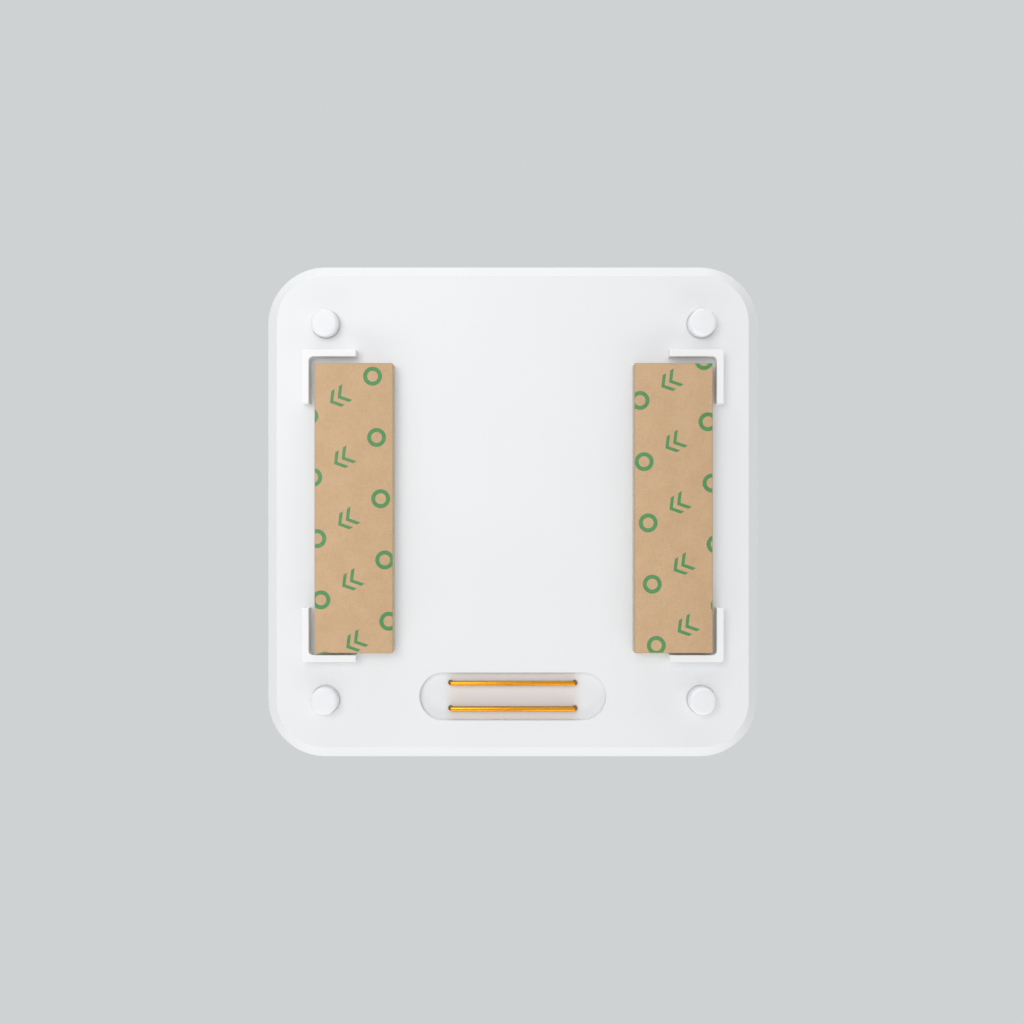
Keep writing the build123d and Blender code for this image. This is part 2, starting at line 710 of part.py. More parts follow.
# Silicone ring under the cap that pushes it back up
with BuildPart() as button_return_pad:
    with BuildSketch(Plane.XY.offset(well_floor_z)):
        Circle(return_pad_outer / 2)
        Circle(return_pad_inner / 2, mode=Mode.SUBTRACT)
    extrude(amount=button_underside_z - well_floor_z)
save(button_return_pad, "button_return_pad")

# Switch: square case with a round plunger that sinks into it
with BuildPart() as switch_case:
    with BuildSketch(Plane.XY.offset(board_top_z)):
        Rectangle(switch_size, switch_size)
    extrude(amount=switch_height)
    chamfer(switch_case.edges().filter_by(Axis.Z), switch_edge_chamfer)
    with BuildSketch(Plane.XY.offset(switch_top_z)):
        Circle(plunger_diameter / 2 + plunger_clearance)
    extrude(amount=-plunger_depth - button_travel, mode=Mode.SUBTRACT)
save(switch_case, "switch_case")

with BuildPart() as switch_plunger:
    with BuildSketch(Plane.XY.offset(switch_top_z - plunger_depth)):
        Circle(plunger_diameter / 2)
    extrude(amount=plunger_depth + plunger_rise)
    chamfer(switch_plunger.faces().sort_by(Axis.Z)[-1].edges(), switch_edge_chamfer)
save(switch_plunger, "switch_plunger")

# Lamp on the board and the clear pipe that carries its light to the top face
with BuildPart() as lamp:
    with BuildSketch(Plane.XY.offset(board_top_z)):
        with Locations((0, lamp_y)):
            Rectangle(lamp_size[0], lamp_size[1])
    extrude(amount=lamp_size[2])
save(lamp, "status_lamp")

with BuildPart() as light_pipe:
    with BuildSketch(Plane.XY.offset(board_top_z + lamp_size[2] + lamp_gap)):
        with Locations((0, lamp_y)):
            Circle(pipe_diameter / 2)
    extrude(amount=top_z - board_top_z - lamp_size[2] - lamp_gap)
    fillet(light_pipe.faces().sort_by(Axis.Z)[-1].edges(), pipe_edge_radius)
    with BuildSketch(Plane.XY.offset(ceiling_z)):
        with Locations((0, lamp_y)):
            Circle(pipe_flange_diameter / 2)
    extrude(amount=-pipe_flange_height)
save(light_pipe, "light_pipe")

# Sounder, the foam ring over it and the vent film behind the sound holes
with BuildPart() as sounder:
    with BuildSketch(Plane.XY.offset(board_top_z)):
        with Locations((0, sounder_y)):
            Circle(sounder_diameter / 2)
    extrude(amount=sounder_height)
    fillet(sounder.faces().sort_by(Axis.Z)[-1].edges(), sounder_edge_radius)
    with BuildSketch(Plane.XY.offset(board_top_z + sounder_height)):
        with Locations((0, sounder_y)):
            Circle(sounder_port_diameter / 2)
    extrude(amount=-sounder_port_depth, mode=Mode.SUBTRACT)
save(sounder, "sounder")

with BuildPart() as sounder_gasket:
    with BuildSketch(Plane.XY.offset(ceiling_z)):
        with Locations((0, sounder_y)):
            Circle(sounder_gasket_outer / 2)
            Circle(sounder_gasket_inner / 2, mode=Mode.SUBTRACT)
    extrude(amount=board_top_z + sounder_height + sounder_gasket_gap - ceiling_z)
save(sounder_gasket, "sounder_gasket")

with BuildPart() as vent_membrane:
    with BuildSketch(Plane.XY.offset(ceiling_z)):
        with Locations((0, sounder_y)):
            Circle(membrane_diameter / 2)
    extrude(amount=-membrane_thickness)
save(vent_membrane, "vent_membrane")


def block_on(base_z, centre, size):
    """A rectangular electronic piece standing on a surface at base_z."""
    with BuildPart() as block:
        with BuildSketch(Plane.XY.offset(base_z)):
            with Locations(centre):
                Rectangle(size[0], size[1])
        extrude(amount=size[2])
    return block


# Radio module, its pressed can and its antenna, and the processor with its crystal
radio_top_z = board_top_z + radio_size[2]
save(block_on(board_top_z, radio_centre, radio_size), "radio_module")
with BuildPart() as radio_shield:
    with BuildSketch(Plane.XY.offset(radio_top_z)):
        with Locations(shield_centre):
            RectangleRounded(shield_size[0], shield_size[1], 2 * shield_wall)
    extrude(amount=shield_size[2])
    fillet(radio_shield.faces().sort_by(Axis.Z)[-1].edges(), shield_wall)
    with BuildSketch(Plane.XY.offset(radio_top_z)):
        with Locations(shield_centre):
            Rectangle(shield_size[0] - 2 * shield_wall, shield_size[1] - 2 * shield_wall)
    extrude(amount=shield_size[2] - shield_wall, mode=Mode.SUBTRACT)
save(radio_shield, "radio_shield")
save(block_on(radio_top_z, antenna_centre, antenna_size), "antenna")
save(block_on(board_top_z, chip_centre, chip_size), "processor")
save(block_on(board_top_z, crystal_centre, crystal_size), "crystal")

# Capacitors: one can and several chips, soldered to the board
with BuildPart() as capacitors:
    with BuildSketch(Plane.XY.offset(board_top_z)):
        with Locations(can_capacitor_spot):
            Circle(can_capacitor_diameter / 2)
    extrude(amount=can_capacitor_height)
    fillet(capacitors.faces().sort_by(Axis.Z)[-1].edges(), strip_thickness)
    with BuildSketch(Plane.XY.offset(board_top_z)):
        with Locations(*chip_capacitor_spots):
            Rectangle(chip_capacitor_size[0], chip_capacitor_size[1])
    extrude(amount=chip_capacitor_size[2])
save(capacitors, "capacitors")
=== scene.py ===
import math
from functools import partial

import bpy
from mathutils import Matrix, Vector


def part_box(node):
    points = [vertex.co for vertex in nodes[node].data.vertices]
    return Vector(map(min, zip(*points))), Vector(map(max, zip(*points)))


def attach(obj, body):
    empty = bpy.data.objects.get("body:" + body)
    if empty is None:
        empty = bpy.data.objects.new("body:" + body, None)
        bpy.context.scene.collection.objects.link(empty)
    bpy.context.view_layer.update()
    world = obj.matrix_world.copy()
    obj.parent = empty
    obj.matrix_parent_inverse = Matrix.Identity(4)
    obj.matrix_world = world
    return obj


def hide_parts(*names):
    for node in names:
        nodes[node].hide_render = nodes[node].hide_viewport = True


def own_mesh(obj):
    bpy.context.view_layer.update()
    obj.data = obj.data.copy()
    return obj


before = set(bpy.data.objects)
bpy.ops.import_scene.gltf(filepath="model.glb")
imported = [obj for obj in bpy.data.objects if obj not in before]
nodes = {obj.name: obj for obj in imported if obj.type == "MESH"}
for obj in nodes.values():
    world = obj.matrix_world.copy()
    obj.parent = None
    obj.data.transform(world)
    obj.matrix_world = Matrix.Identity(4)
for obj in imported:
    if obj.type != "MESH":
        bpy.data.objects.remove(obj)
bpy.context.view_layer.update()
mm = 0.001
print("frame loaded,", len(nodes), "nodes")

# Camera: straight under the middle of the object, looking up at it, as the photograph does
camera = {
    "lens": 35.0,
    "sensor": 36.0,
    "imageWidth": 1024,
    "pixelsPerMm": 7.639,  # measured on the outline of the housing
    "outlineHeight": 3.35 * mm,  # the outline is the upper edge of the chamfer
    "centrePixel": (512.75, 511.86),  # the middle of the housing in the photograph
}


def addCamera():
    scale = camera["pixelsPerMm"] / mm
    distance = camera["lens"] / camera["sensor"] * camera["imageWidth"] / scale
    x, y = ((pixel - camera["imageWidth"] / 2) / scale for pixel in camera["centrePixel"])
    bpy.ops.object.camera_add(location=(x, y, camera["outlineHeight"] - distance), rotation=(0, math.pi, 0))
    made = bpy.context.object
    made.name = "mainCamera"
    made.data.lens = camera["lens"]
    made.data.sensor_width = camera["sensor"]
    made.data.clip_start = 1 * mm
    bpy.context.scene.camera = made


def linear(colour):
    # a hex colour as the linear one that a socket takes
    channels = [int(colour[i:i + 2], 16) / 255 for i in (1, 3, 5)]
    return [c / 12.92 if c <= 0.04045 else ((c + 0.055) / 1.055) ** 2.4 for c in channels] + [1.0]


def setInputs(node, inputs):
    # a socket is linked, and a node stands for its own first result
    for name, value in inputs.items():
        if isinstance(value, bpy.types.Node):
            value = next(output for output in value.outputs if output.enabled)
        if isinstance(value, bpy.types.NodeSocket):
            node.id_data.links.new(value, node.inputs[name])
        else:
            node.inputs[name].default_value = linear(value) if isinstance(value, str) else value


def addNode(tree, kind, inputs=None, mode=None, **settings):
    # mode is what a Math or VectorMath node works out, or what a Mix node mixes
    node = tree.nodes.new("ShaderNode" + kind)
    if mode:
        settings["data_type" if kind == "Mix" else "operation"] = mode
    for name, value in settings.items():
        setattr(node, name, value)
    setInputs(node, inputs or {})
    return node


materials = {}


def newMaterial(name, sockets=None):
    # gives the function that adds a node to it, its shader, and the place of a point on the object
    material = bpy.data.materials.new(name)
    material.use_nodes = True
    materials[name] = material
    shader = material.node_tree.nodes["Principled BSDF"]
    setInputs(shader, sockets or {})
    add = partial(addNode, material.node_tree)
    return add, shader, add("TexCoord").outputs["Object"]


def addSkin(add, shader, colour, layers, wear, rough, height, depth, span=(0.0, 1.0), **sockets):
    # layers are (mask, colour) laid over the colour, one on the other. The roughness goes from one end of
    # rough to the other as wear goes over its span, and depth is in millimetres
    for mask, tone in layers:
        colour = add("Mix", {0: mask, 6: colour, 7: tone}, "RGBA")
    follow = add("MapRange", {0: wear, 1: span[0], 2: span[1], 3: rough[0], 4: rough[1]})
    relief = add("Bump", {"Distance": depth * mm, "Height": height})
    setInputs(shader, {"Base Color": colour, "Roughness": follow, "Normal": relief, **sockets})


# Finishes with one colour, a faint drift of it, and a surface grain. Sizes are in millimetres. Each row
# gives the colour, the drift and the size of its patches, the roughness from and to, the size and the
# height of the grain, how far it is squeezed along each axis, for rolled and drawn metal, and sockets
bareMetal = {"Metallic": 1.0}
even = (1, 1, 1)
finishes = {
    # ABS from a spark-eroded mould: satin white, faintly pebbled, with a slow drift where it flowed
    "erodedAbs": ("#EEEFF0", "#EAEBED", 16, (0.42, 0.54), 0.34, 0.0032, even, {}),
    # ABS from a finer mould: the button is smoother than the cover round it
    "satinAbs": ("#E9EAED", "#E4E6EA", 5, (0.30, 0.40), 0.2, 0.0014, even, {}),
    # Compression-moulded silicone: white, soft sheen, light enters a little way
    "pressedSilicone": ("#F0F1F3", "#EBECEF", 1.5, (0.42, 0.54), 0.22, 0.002, even,
                        {"Subsurface Weight": 0.05, "Subsurface Scale": 0.3 * mm}),
    # The same rubber in grey, for seals that don't show: matte with talc on it
    "greySilicone": ("#A0A5AA", "#959AA0", 3, (0.5, 0.68), 0.25, 0.004, even, {}),
    # Zinc-plated steel: bluish white metal with a fine tumbled grain
    "zincPlate": ("#C3C6CB", "#AEB3BC", 0.8, (0.24, 0.40), 0.12, 0.0015, even, bareMetal),
    # Black ABS from a coarse mould: dull and slightly dusty
    "coarseAbs": ("#202123", "#18191B", 6, (0.48, 0.64), 0.3, 0.006, even, {}),
    # Nickel-plated spring strip: warm grey metal, rolled in the direction of its length
    "rolledNickel": ("#D8D4CB", "#CBC6BC", 1.2, (0.24, 0.34), 0.2, 0.0005, (1, 0.12, 1), bareMetal),
    # Glass-filled PBT: black, satin, with a fine grain
    "filledPbt": ("#141517", "#0F1011", 4, (0.36, 0.50), 0.18, 0.003, even, {}),
    # Cast epoxy over the phosphor of a lamp: yellowish, glossy and slightly cloudy
    "castEpoxy": ("#F2E7AE", "#EBDD97", 0.5, (0.10, 0.18), 0.15, 0.0006, even,
                  {"Subsurface Weight": 0.3, "Subsurface Scale": 0.3 * mm}),
    # Tinplate: bright drawn metal with faint flow marks
    "tinplate": ("#D2D2CF", "#BFC0BF", 1.6, (0.20, 0.34), 0.3, 0.0009, (0.25, 1, 1), bareMetal),
    # Drawn aluminium: soft bright grey
    "drawnAluminium": ("#C9CBCF", "#B7BABF", 1.0, (0.26, 0.38), 0.16, 0.0012, (1, 1, 0.15), bareMetal),
    # Epoxy moulding compound: nearly black, matte, with filler specks
    "mouldingCompound": ("#1D1E20", "#151617", 0.8, (0.52, 0.68), 0.12, 0.003, even, {}),
    # Fired barium ceramic of small capacitors: brown, slightly glossy
    "brownCeramic": ("#8E6E4C", "#7F6143", 0.4, (0.28, 0.42), 0.12, 0.001, even, {}),
    # Thin gold on the copper edge pads of the radio module: flat and pinkish yellow
    "immersionGold": ("#E3B461", "#D8A550", 0.6, (0.26, 0.40), 0.12, 0.001, even, bareMetal),
    # Solder: bright tin with a frosted skin where it froze
    "tinSolder": ("#D0D2D4", "#B4B8BC", 0.3, (0.16, 0.34), 0.15, 0.003, even, bareMetal),
    # White screen ink on the board: flat and a little uneven
    "screenInk": ("#E4E7E1", "#CDD4CA", 0.4, (0.55, 0.7), 0.1, 0.002, even, {}),
    # Polished clear polycarbonate: glassy, with a trace of flow lines
    "clearPolycarbonate": ("#F4F7F8", "#EEF2F4", 1.0, (0.03, 0.08), 0.5, 0.0006, even,
                           {"Transmission Weight": 0.85, "IOR": 1.585}),
    # Stretched porous film: flat white with a woven-looking skin
    "porousFilm": ("#F1F1EF", "#E6E7E4", 0.8, (0.6, 0.75), 0.14, 0.004, (1, 0.4, 1), {}),
    # Acetal: waxy off-white
    "turnedAcetal": ("#DCD9CE", "#D2CFC3", 0.9, (0.26, 0.36), 0.14, 0.001, even, {}),
    # Steel can of a cell, nickel plated, seen at its two ends
    "cellSteel": ("#C2C0BB", "#B2B0AB", 1.5, (0.34, 0.46), 0.18, 0.0012, even, bareMetal),
}
grainSpan = (0.3, 0.7)  # the two values of the grain's noise at which the roughness reaches its ends

# Painted light: the tips of the brackets, below 0.9 mm, are painted a shade whiter so that they stand out as lit
paintedLightRibs = {"finish": "erodedAbs", "colour": "#F3F3F3", "below": 0.9}
# The recess of the bars, in millimetres: a painted shade line along its step, and a faint warm tint on its floor
# under the bars, which is painted shade and painted reflection of the gold
recess = {"y": -23.9, "endX": 9.0, "radius": 3.075, "below": 3.0, "line": "#E1E2E4", "shadeLineHalf": 0.04,
          "shadeLineEnd": 0.10, "film": "#EBE6E3", "filmX": 7.9, "filmEnd": 8.9}


# Painted light and shade on the underside of the shell: whiter bracket tips, a painted shade line along the recess's
# step, and a painted warm cast of the gold bars on its floor
def addPaintedUndersideLightAndShade(add, point, colour):
    place = add("SeparateXYZ", {0: point})
    # painted light: the tips of the brackets are painted whiter
    paintedRibLight = add("Math", {0: place.outputs["Z"], 1: paintedLightRibs["below"] * mm}, "LESS_THAN")
    colour = add("Mix", {0: paintedRibLight, 6: colour, 7: paintedLightRibs["colour"]}, "RGBA")
    # how far a point is from the line between the centres of the recess's two round ends
    away = add("Math", {0: place.outputs["X"]}, "ABSOLUTE")
    past = add("Math", {0: away, 1: recess["endX"] * mm}, "SUBTRACT")
    beyond = add("Math", {0: past, 1: 0.0}, "MAXIMUM")
    across = add("Math", {0: place.outputs["Y"], 1: recess["y"] * mm}, "SUBTRACT")
    both = add("CombineXYZ", {0: beyond, 1: across})
    distance = add("VectorMath", {0: both}, "LENGTH")
    low = add("Math", {0: place.outputs["Z"], 1: recess["below"] * mm}, "LESS_THAN")
    inside = add("Math", {0: distance, 1: recess["radius"] * mm}, "LESS_THAN")
    edge = add("Math", {0: distance, 1: recess["radius"] * mm}, "SUBTRACT")
    near = add("Math", {0: edge}, "ABSOLUTE")
    # line is the painted shade along the step; film is the painted warm cast under the bars, shade and reflection of
    # the gold
    line, film = (
        add("MapRange", {0: value, 1: start * mm, 2: end * mm, 3: 1.0, 4: 0.0})
        for value, start, end in (
            (near, recess["shadeLineHalf"], recess["shadeLineEnd"]), (away, recess["filmX"], recess["filmEnd"])
        )
    )
    # painted shade and painted reflection of the gold bars on the floor of the recess
    paintedCast = add("Math", {0: film, 1: inside}, "MULTIPLY")
    for mask, tone in ((paintedCast, recess["film"]), (line, recess["line"])):
        cover = add("Math", {0: mask, 1: low}, "MULTIPLY")
        colour = add("Mix", {0: cover, 6: colour, 7: tone}, "RGBA")
    return colour


def addFinishes():
    for name, (main, drift, patch, rough, size, depth, stretch, sockets) in finishes.items():
        add, shader, point = newMaterial(name, sockets)
        cloud = add("TexNoise", {"Vector": point, "Scale": 1 / (patch * mm)})
        colour = add("Mix", {0: cloud, 6: main, 7: drift}, "RGBA")
        # the underside of the shell gets painted light on the brackets and painted shade in the recess
        if name == paintedLightRibs["finish"]:
            colour = addPaintedUndersideLightAndShade(add, point, colour)
        drawn = add("VectorMath", {0: point, 1: stretch}, "MULTIPLY")
        grain = add("TexNoise", {"Vector": drawn, "Scale": 1 / (size * mm), "Detail": 3, "Roughness": 0.6})
        addSkin(add, shader, colour, (), grain, rough, grain, depth, grainSpan)


# Gold plate on drawn wire: deep yellow metal with fine lines along the wire. Its two ends are painted dull and brown,
# and a strip along the +Y side of each wire browner: painted shade and painted dark reflection
goldPlate = {"colour": "#DF9B30", "worn": "#D4902A", "cloud": 1.2, "line": 0.05, "along": 0.02,
             "depth": 0.0006, "rough": (0.18, 0.25), "paintedEndShade": "#93662B", "paintedEndFrom": 8.03, "paintedEndTo": 8.12,
             "paintedSideShade": "#A06E22", "paintedSideFrom": 0.16, "paintedSideTo": 0.20, "middle": -23.85, "apart": 3.3}


def addGoldPlate():
    add, shader, point = newMaterial("goldPlate", bareMetal)
    drawn = add("VectorMath", {0: point, 1: (goldPlate["along"], 1, 1)}, "MULTIPLY")
    lines = add("TexNoise", {"Vector": drawn, "Scale": 1 / (goldPlate["line"] * mm), "Roughness": 0.6})
    cloud = add("TexNoise", {"Vector": point, "Scale": 1 / (goldPlate["cloud"] * mm), "Detail": 3})
    colour = add("Mix", {0: cloud, 6: goldPlate["colour"], 7: goldPlate["worn"]}, "RGBA")
    place = add("SeparateXYZ", {0: point})
    away = add("Math", {0: place.outputs["X"]}, "ABSOLUTE")
    # painted shade: the two ends of each wire are painted dull brown
    paintedEnds = add("MapRange", {0: away, 1: goldPlate["paintedEndFrom"] * mm, 2: goldPlate["paintedEndTo"] * mm})
    # both bars at once: the distance across is wrapped, with a wire's axis half-way
    across = add("Math", {0: place.outputs["Y"], 1: goldPlate["middle"] * mm}, "SUBTRACT")
    side = add("Math", {0: across, 1: goldPlate["apart"] * mm, 2: 0.0}, "WRAP")
    # painted shade: a strip along the +Y side of each wire is painted browner
    paintedSideFrom, paintedSideTo = ((goldPlate["apart"] / 2 + goldPlate[end]) * mm for end in ("paintedSideFrom", "paintedSideTo"))
    paintedSideShade = add("MapRange", {0: side, 1: paintedSideFrom, 2: paintedSideTo})
    layers = ((paintedSideShade, goldPlate["paintedSideShade"]), (paintedEnds, goldPlate["paintedEndShade"]))
    addSkin(add, shader, colour, layers, lines, goldPlate["rough"], lines, goldPlate["depth"], grainSpan)


# Foam: closed cells in the tape, open cells in the ring of the sounder. The tape has a film of
# adhesive on both faces, which shows at its sides as a yellower, glossier line
foams = {
    "closedCellFoam": {"colour": "#C6C1B8", "pore": "#A7A299", "cell": 0.16, "depth": 0.03,
                       "rough": (0.88, 0.45), "film": "#A9996B"},
    "openCellFoam": {"colour": "#1A1B1D", "pore": "#08090A", "cell": 0.32, "depth": 0.08,
                     "rough": (0.96, 0.86)},
}
poreEdge = (0.15, 0.6)  # where a pore ends, from the middle of its cell, in cells
filmFade = 0.8  # share of the film's thickness that has its full colour


def addFoams():
    low, high, middle = boxOf("left_adhesive_pad")
    half = (high.z - low.z) / 2
    for name, foam in foams.items():
        add, shader, point = newMaterial(name)
        cells = add("TexVoronoi", {"Vector": point, "Scale": 1 / (foam["cell"] * mm)})
        pores = add("MapRange", {0: cells, 1: poreEdge[0], 2: poreEdge[1]})
        colour = add("Mix", {0: pores, 6: foam["pore"], 7: foam["colour"]}, "RGBA")
        wear, layers = pores, ()
        if "film" in foam:
            height = add("SeparateXYZ", {0: point})
            above = add("Math", {0: height.outputs["Z"], 1: middle.z * mm}, "SUBTRACT")
            away = add("Math", {0: above}, "ABSOLUTE")
            wear = add("MapRange", {0: away, 1: (half - pad["film"]) * mm, 2: (half - filmFade * pad["film"]) * mm})
            layers = ((wear, foam["film"]),)
        addSkin(add, shader, colour, layers, wear, foam["rough"], pores, foam["depth"])


# Calendered kraft paper: tan, with short fibres both ways, a darker cut edge, and green rows of
# doubled arrowheads and rings that any tape maker might print. The ink is thinner over deep fibres
kraft = {
    "colour": "#D1AE88", "fibre": "#C6A37D", "edge": "#A98F62", "ink": "#438D50",
    "fibreWidth": 0.14, "fibreLength": 0.8, "fibreBend": 0.9, "cloud": 2.6, "tone": (1.2, 1.8),
    "inkOver": (0.75, 1.05), "inkCover": (0.86, 0.98), "rough": (0.66, 0.5), "depth": 0.006,
    "turn": 32, "row": 6.9, "column": 9.6, "rowShift": 3.7, "stroke": 0.26, "reach": 1.2, "slope": 0.8,
    "arrowAt": -1.9, "arrowGap": 1.15, "ringAt": 2.7, "ringRadius": 0.95, "edgeWidth": 0.13, "edgeCover": 0.85,
}


def addKraftPaper(name, centre, size):
    add, shader, point = newMaterial(name)
    ratio = kraft["fibreWidth"] / kraft["fibreLength"]
    fibres = []
    for stretch in ((1, ratio, 1), (ratio, 1, 1)):
        squeezed = add("VectorMath", {0: point, 1: stretch}, "MULTIPLY")
        fibres.append(add(
            "TexNoise",
            {"Vector": squeezed, "Scale": 1 / (kraft["fibreWidth"] * mm), "Distortion": kraft["fibreBend"]},
        ))
    mat = add("Math", {0: fibres[0], 1: fibres[1]}, "ADD")
    cloud = add("TexNoise", {"Vector": point, "Scale": 1 / (kraft["cloud"] * mm), "Detail": 3})
    both = add("Math", {0: mat, 1: cloud}, "ADD")
    tone = add("MapRange", {0: both, 1: kraft["tone"][0], 2: kraft["tone"][1]})
    colour = add("Mix", {0: tone, 6: kraft["fibre"], 7: kraft["colour"]}, "RGBA")
    # the print: rows turned against the pad, each shifted along from the last
    turn = (0, 0, math.radians(kraft["turn"]))
    flat = add("Mapping", {"Vector": point, "Rotation": turn, "Scale": (1 / mm, 1 / mm, 1 / mm)})
    place = add("SeparateXYZ", {0: flat})
    rows = add("Math", {0: place.outputs["Y"], 1: kraft["row"]}, "DIVIDE")
    row = add("Math", {0: rows}, "FLOOR")
    shift = add("Math", {0: row, 1: kraft["rowShift"], 2: place.outputs["X"]}, "MULTIPLY_ADD")
    spot = []  # the place along and across in one repeat of the print, from its middle
    for value, repeat in ((shift, kraft["column"]), (place.outputs["Y"], kraft["row"])):
        within = add("Math", {0: value, 1: repeat}, "FLOORED_MODULO")
        spot.append(add("Math", {0: within, 1: repeat / 2}, "SUBTRACT"))
    rise = add("Math", {0: spot[1]}, "ABSOLUTE")
    leant = add("Math", {0: rise, 1: kraft["slope"], 2: spot[0]}, "MULTIPLY_ADD")
    between = kraft["arrowAt"] + kraft["arrowGap"] / 2
    centred = add("Math", {0: leant, 1: between}, "SUBTRACT")
    folded = add("Math", {0: centred}, "ABSOLUTE")
    stroke = add("Math", {0: folded, 1: kraft["arrowGap"] / 2, 2: kraft["stroke"]}, "COMPARE")
    inside = add("Math", {0: rise, 1: kraft["reach"]}, "LESS_THAN")
    arrow = add("Math", {0: stroke, 1: inside}, "MULTIPLY")
    fromRing = add("Math", {0: spot[0], 1: kraft["ringAt"]}, "SUBTRACT")
    ringSpot = add("CombineXYZ", {0: fromRing, 1: spot[1]})
    radius = add("VectorMath", {0: ringSpot}, "LENGTH")
    ring = add("Math", {0: radius, 1: kraft["ringRadius"], 2: kraft["stroke"]}, "COMPARE")
    figure = add("Math", {0: arrow, 1: ring}, "MAXIMUM")
    over, cover = kraft["inkOver"], kraft["inkCover"]
    taken = add("MapRange", {0: mat, 1: over[0], 2: over[1], 3: cover[0], 4: cover[1]})
    inked = add("Math", {0: figure, 1: taken}, "MULTIPLY")
    # the paper is darker in a narrow band along its cut edge
    local = add("VectorMath", {0: point, 1: (centre[0], centre[1], 0)}, "SUBTRACT")
    spread = add("VectorMath", {0: local}, "ABSOLUTE")
    left = add("VectorMath", {0: (size[0] / 2, size[1] / 2, 1), 1: spread}, "SUBTRACT")
    sides = add("SeparateXYZ", {0: left})
    nearest = add("Math", {0: sides.outputs["X"], 1: sides.outputs["Y"]}, "MINIMUM")
    edge = add("MapRange", {0: nearest, 1: 0, 2: kraft["edgeWidth"] * mm, 3: kraft["edgeCover"], 4: 0})
    layers = ((inked, kraft["ink"]), (edge, kraft["edge"]))
    addSkin(add, shader, colour, layers, figure, kraft["rough"], both, kraft["depth"])


# Glass-epoxy laminate under solder mask: tracks show as lighter, raised lines, vias as small tinned
# dots, and the cut edge as bare straw-coloured laminate
laminates = {
    "greenMask": {"mask": "#0E5A33", "track": "#1B7A48", "run": 7.3, "pitch": 0.85, "via": 3.1},
    "blueMask": {"mask": "#14345F", "track": "#20508A", "run": 3.4, "pitch": 0.6, "via": 1.9},
}
# region is the size of the areas with tracks, and laid the noise above which an area has them. The
# radii are shares of the space between vias, and steepest is the upright part of a cut edge's normal
laminate = {"edge": "#B9B27C", "tin": "#C9C6BC", "holeShade": "#1B1C18", "track": 0.09, "soft": 0.2, "region": 5.5,
            "laid": 0.47, "scatter": 0.85, "viaRadius": 0.09, "holeRadius": 0.04, "steepest": 0.5,
            "rough": (0.26, 0.75), "copper": 0.03}


def addLaminates():
    for name, board in laminates.items():
        add, shader, point = newMaterial(name)
        scaled = add("VectorMath", {0: point, "Scale": 1 / mm}, "SCALE")
        track = add(
            "TexBrick",
            {"Vector": scaled, "Scale": 1.0, "Mortar Size": laminate["track"], "Mortar Smooth": laminate["soft"],
             "Brick Width": board["run"], "Row Height": board["pitch"]},
            offset=0.37, squash=1.6, squash_frequency=3,
        )
        region = add("TexNoise", {"Vector": point, "Scale": 1 / (laminate["region"] * mm), "Detail": 0})
        laid = add("Math", {0: region, 1: laminate["laid"]}, "GREATER_THAN")
        tracks = add("Math", {0: track.outputs["Fac"], 1: laid}, "MULTIPLY")
        spots = add(
            "TexVoronoi",
            {"Vector": point, "Scale": 1 / (board["via"] * mm), "Randomness": laminate["scatter"]},
            voronoi_dimensions="2D",
        )
        via = add("Math", {0: spots, 1: laminate["viaRadius"]}, "LESS_THAN")
        # painted shade: the dark middle of each via stands in for the shade inside its drilled hole
        holeShade = add("Math", {0: spots, 1: laminate["holeRadius"]}, "LESS_THAN")
        upright = add("SeparateXYZ", {0: add("NewGeometry").outputs["True Normal"]})
        level = add("Math", {0: upright.outputs["Z"]}, "ABSOLUTE")
        cut = add("Math", {0: level, 1: laminate["steepest"]}, "LESS_THAN")
        colour = add("Mix", {0: tracks, 6: board["mask"], 7: board["track"]}, "RGBA")
        layers = ((via, laminate["tin"]), (holeShade, laminate["holeShade"]), (cut, laminate["edge"]))
        bare = add("Math", {0: via, 1: cut}, "SUBTRACT", use_clamp=True)
        addSkin(add, shader, colour, layers, cut, laminate["rough"], tracks, laminate["copper"], Metallic=bare)


# Printed shrink sleeve of a cell: slate with one pale band, glossy, slightly wavy from shrinking
sleeve = {"colour": "#2B3A46", "speck": "#243039", "band": "#C8CDD1", "bandLow": 12.5, "bandHigh": 16.5,
          "grain": 0.3, "rough": (0.22, 0.34), "wave": 5, "depth": 0.06}


def addShrinkSleeve(name, side):
    add, shader, point = newMaterial(name, {"Coat Weight": 0.5, "Coat Roughness": 0.08})
    place = add("SeparateXYZ", {0: point})
    along = add("Math", {0: place.outputs["X"], 1: side / mm}, "MULTIPLY")
    middle, half = (sleeve["bandLow"] + sleeve["bandHigh"]) / 2, (sleeve["bandHigh"] - sleeve["bandLow"]) / 2
    band = add("Math", {0: along, 1: middle, 2: half}, "COMPARE")
    speck = add("TexNoise", {"Vector": point, "Scale": 1 / (sleeve["grain"] * mm)})
    colour = add("Mix", {0: speck, 6: sleeve["colour"], 7: sleeve["speck"]}, "RGBA")
    wave = add("TexNoise", {"Vector": point, "Scale": 1 / (sleeve["wave"] * mm), "Detail": 1})
    addSkin(add, shader, colour, ((band, sleeve["band"]),), speck, sleeve["rough"], wave, sleeve["depth"])


# White fired ceramic of the antenna, with a silver meander on top and silver ends
antenna = {"colour": "#EAE8E0", "glaze": "#DEDCD3", "silver": "#BDBEBD", "grain": 0.3, "rough": (0.26, 0.4),
           "pitch": 0.7, "width": 0.16, "reach": 0.62, "end": 2.45}


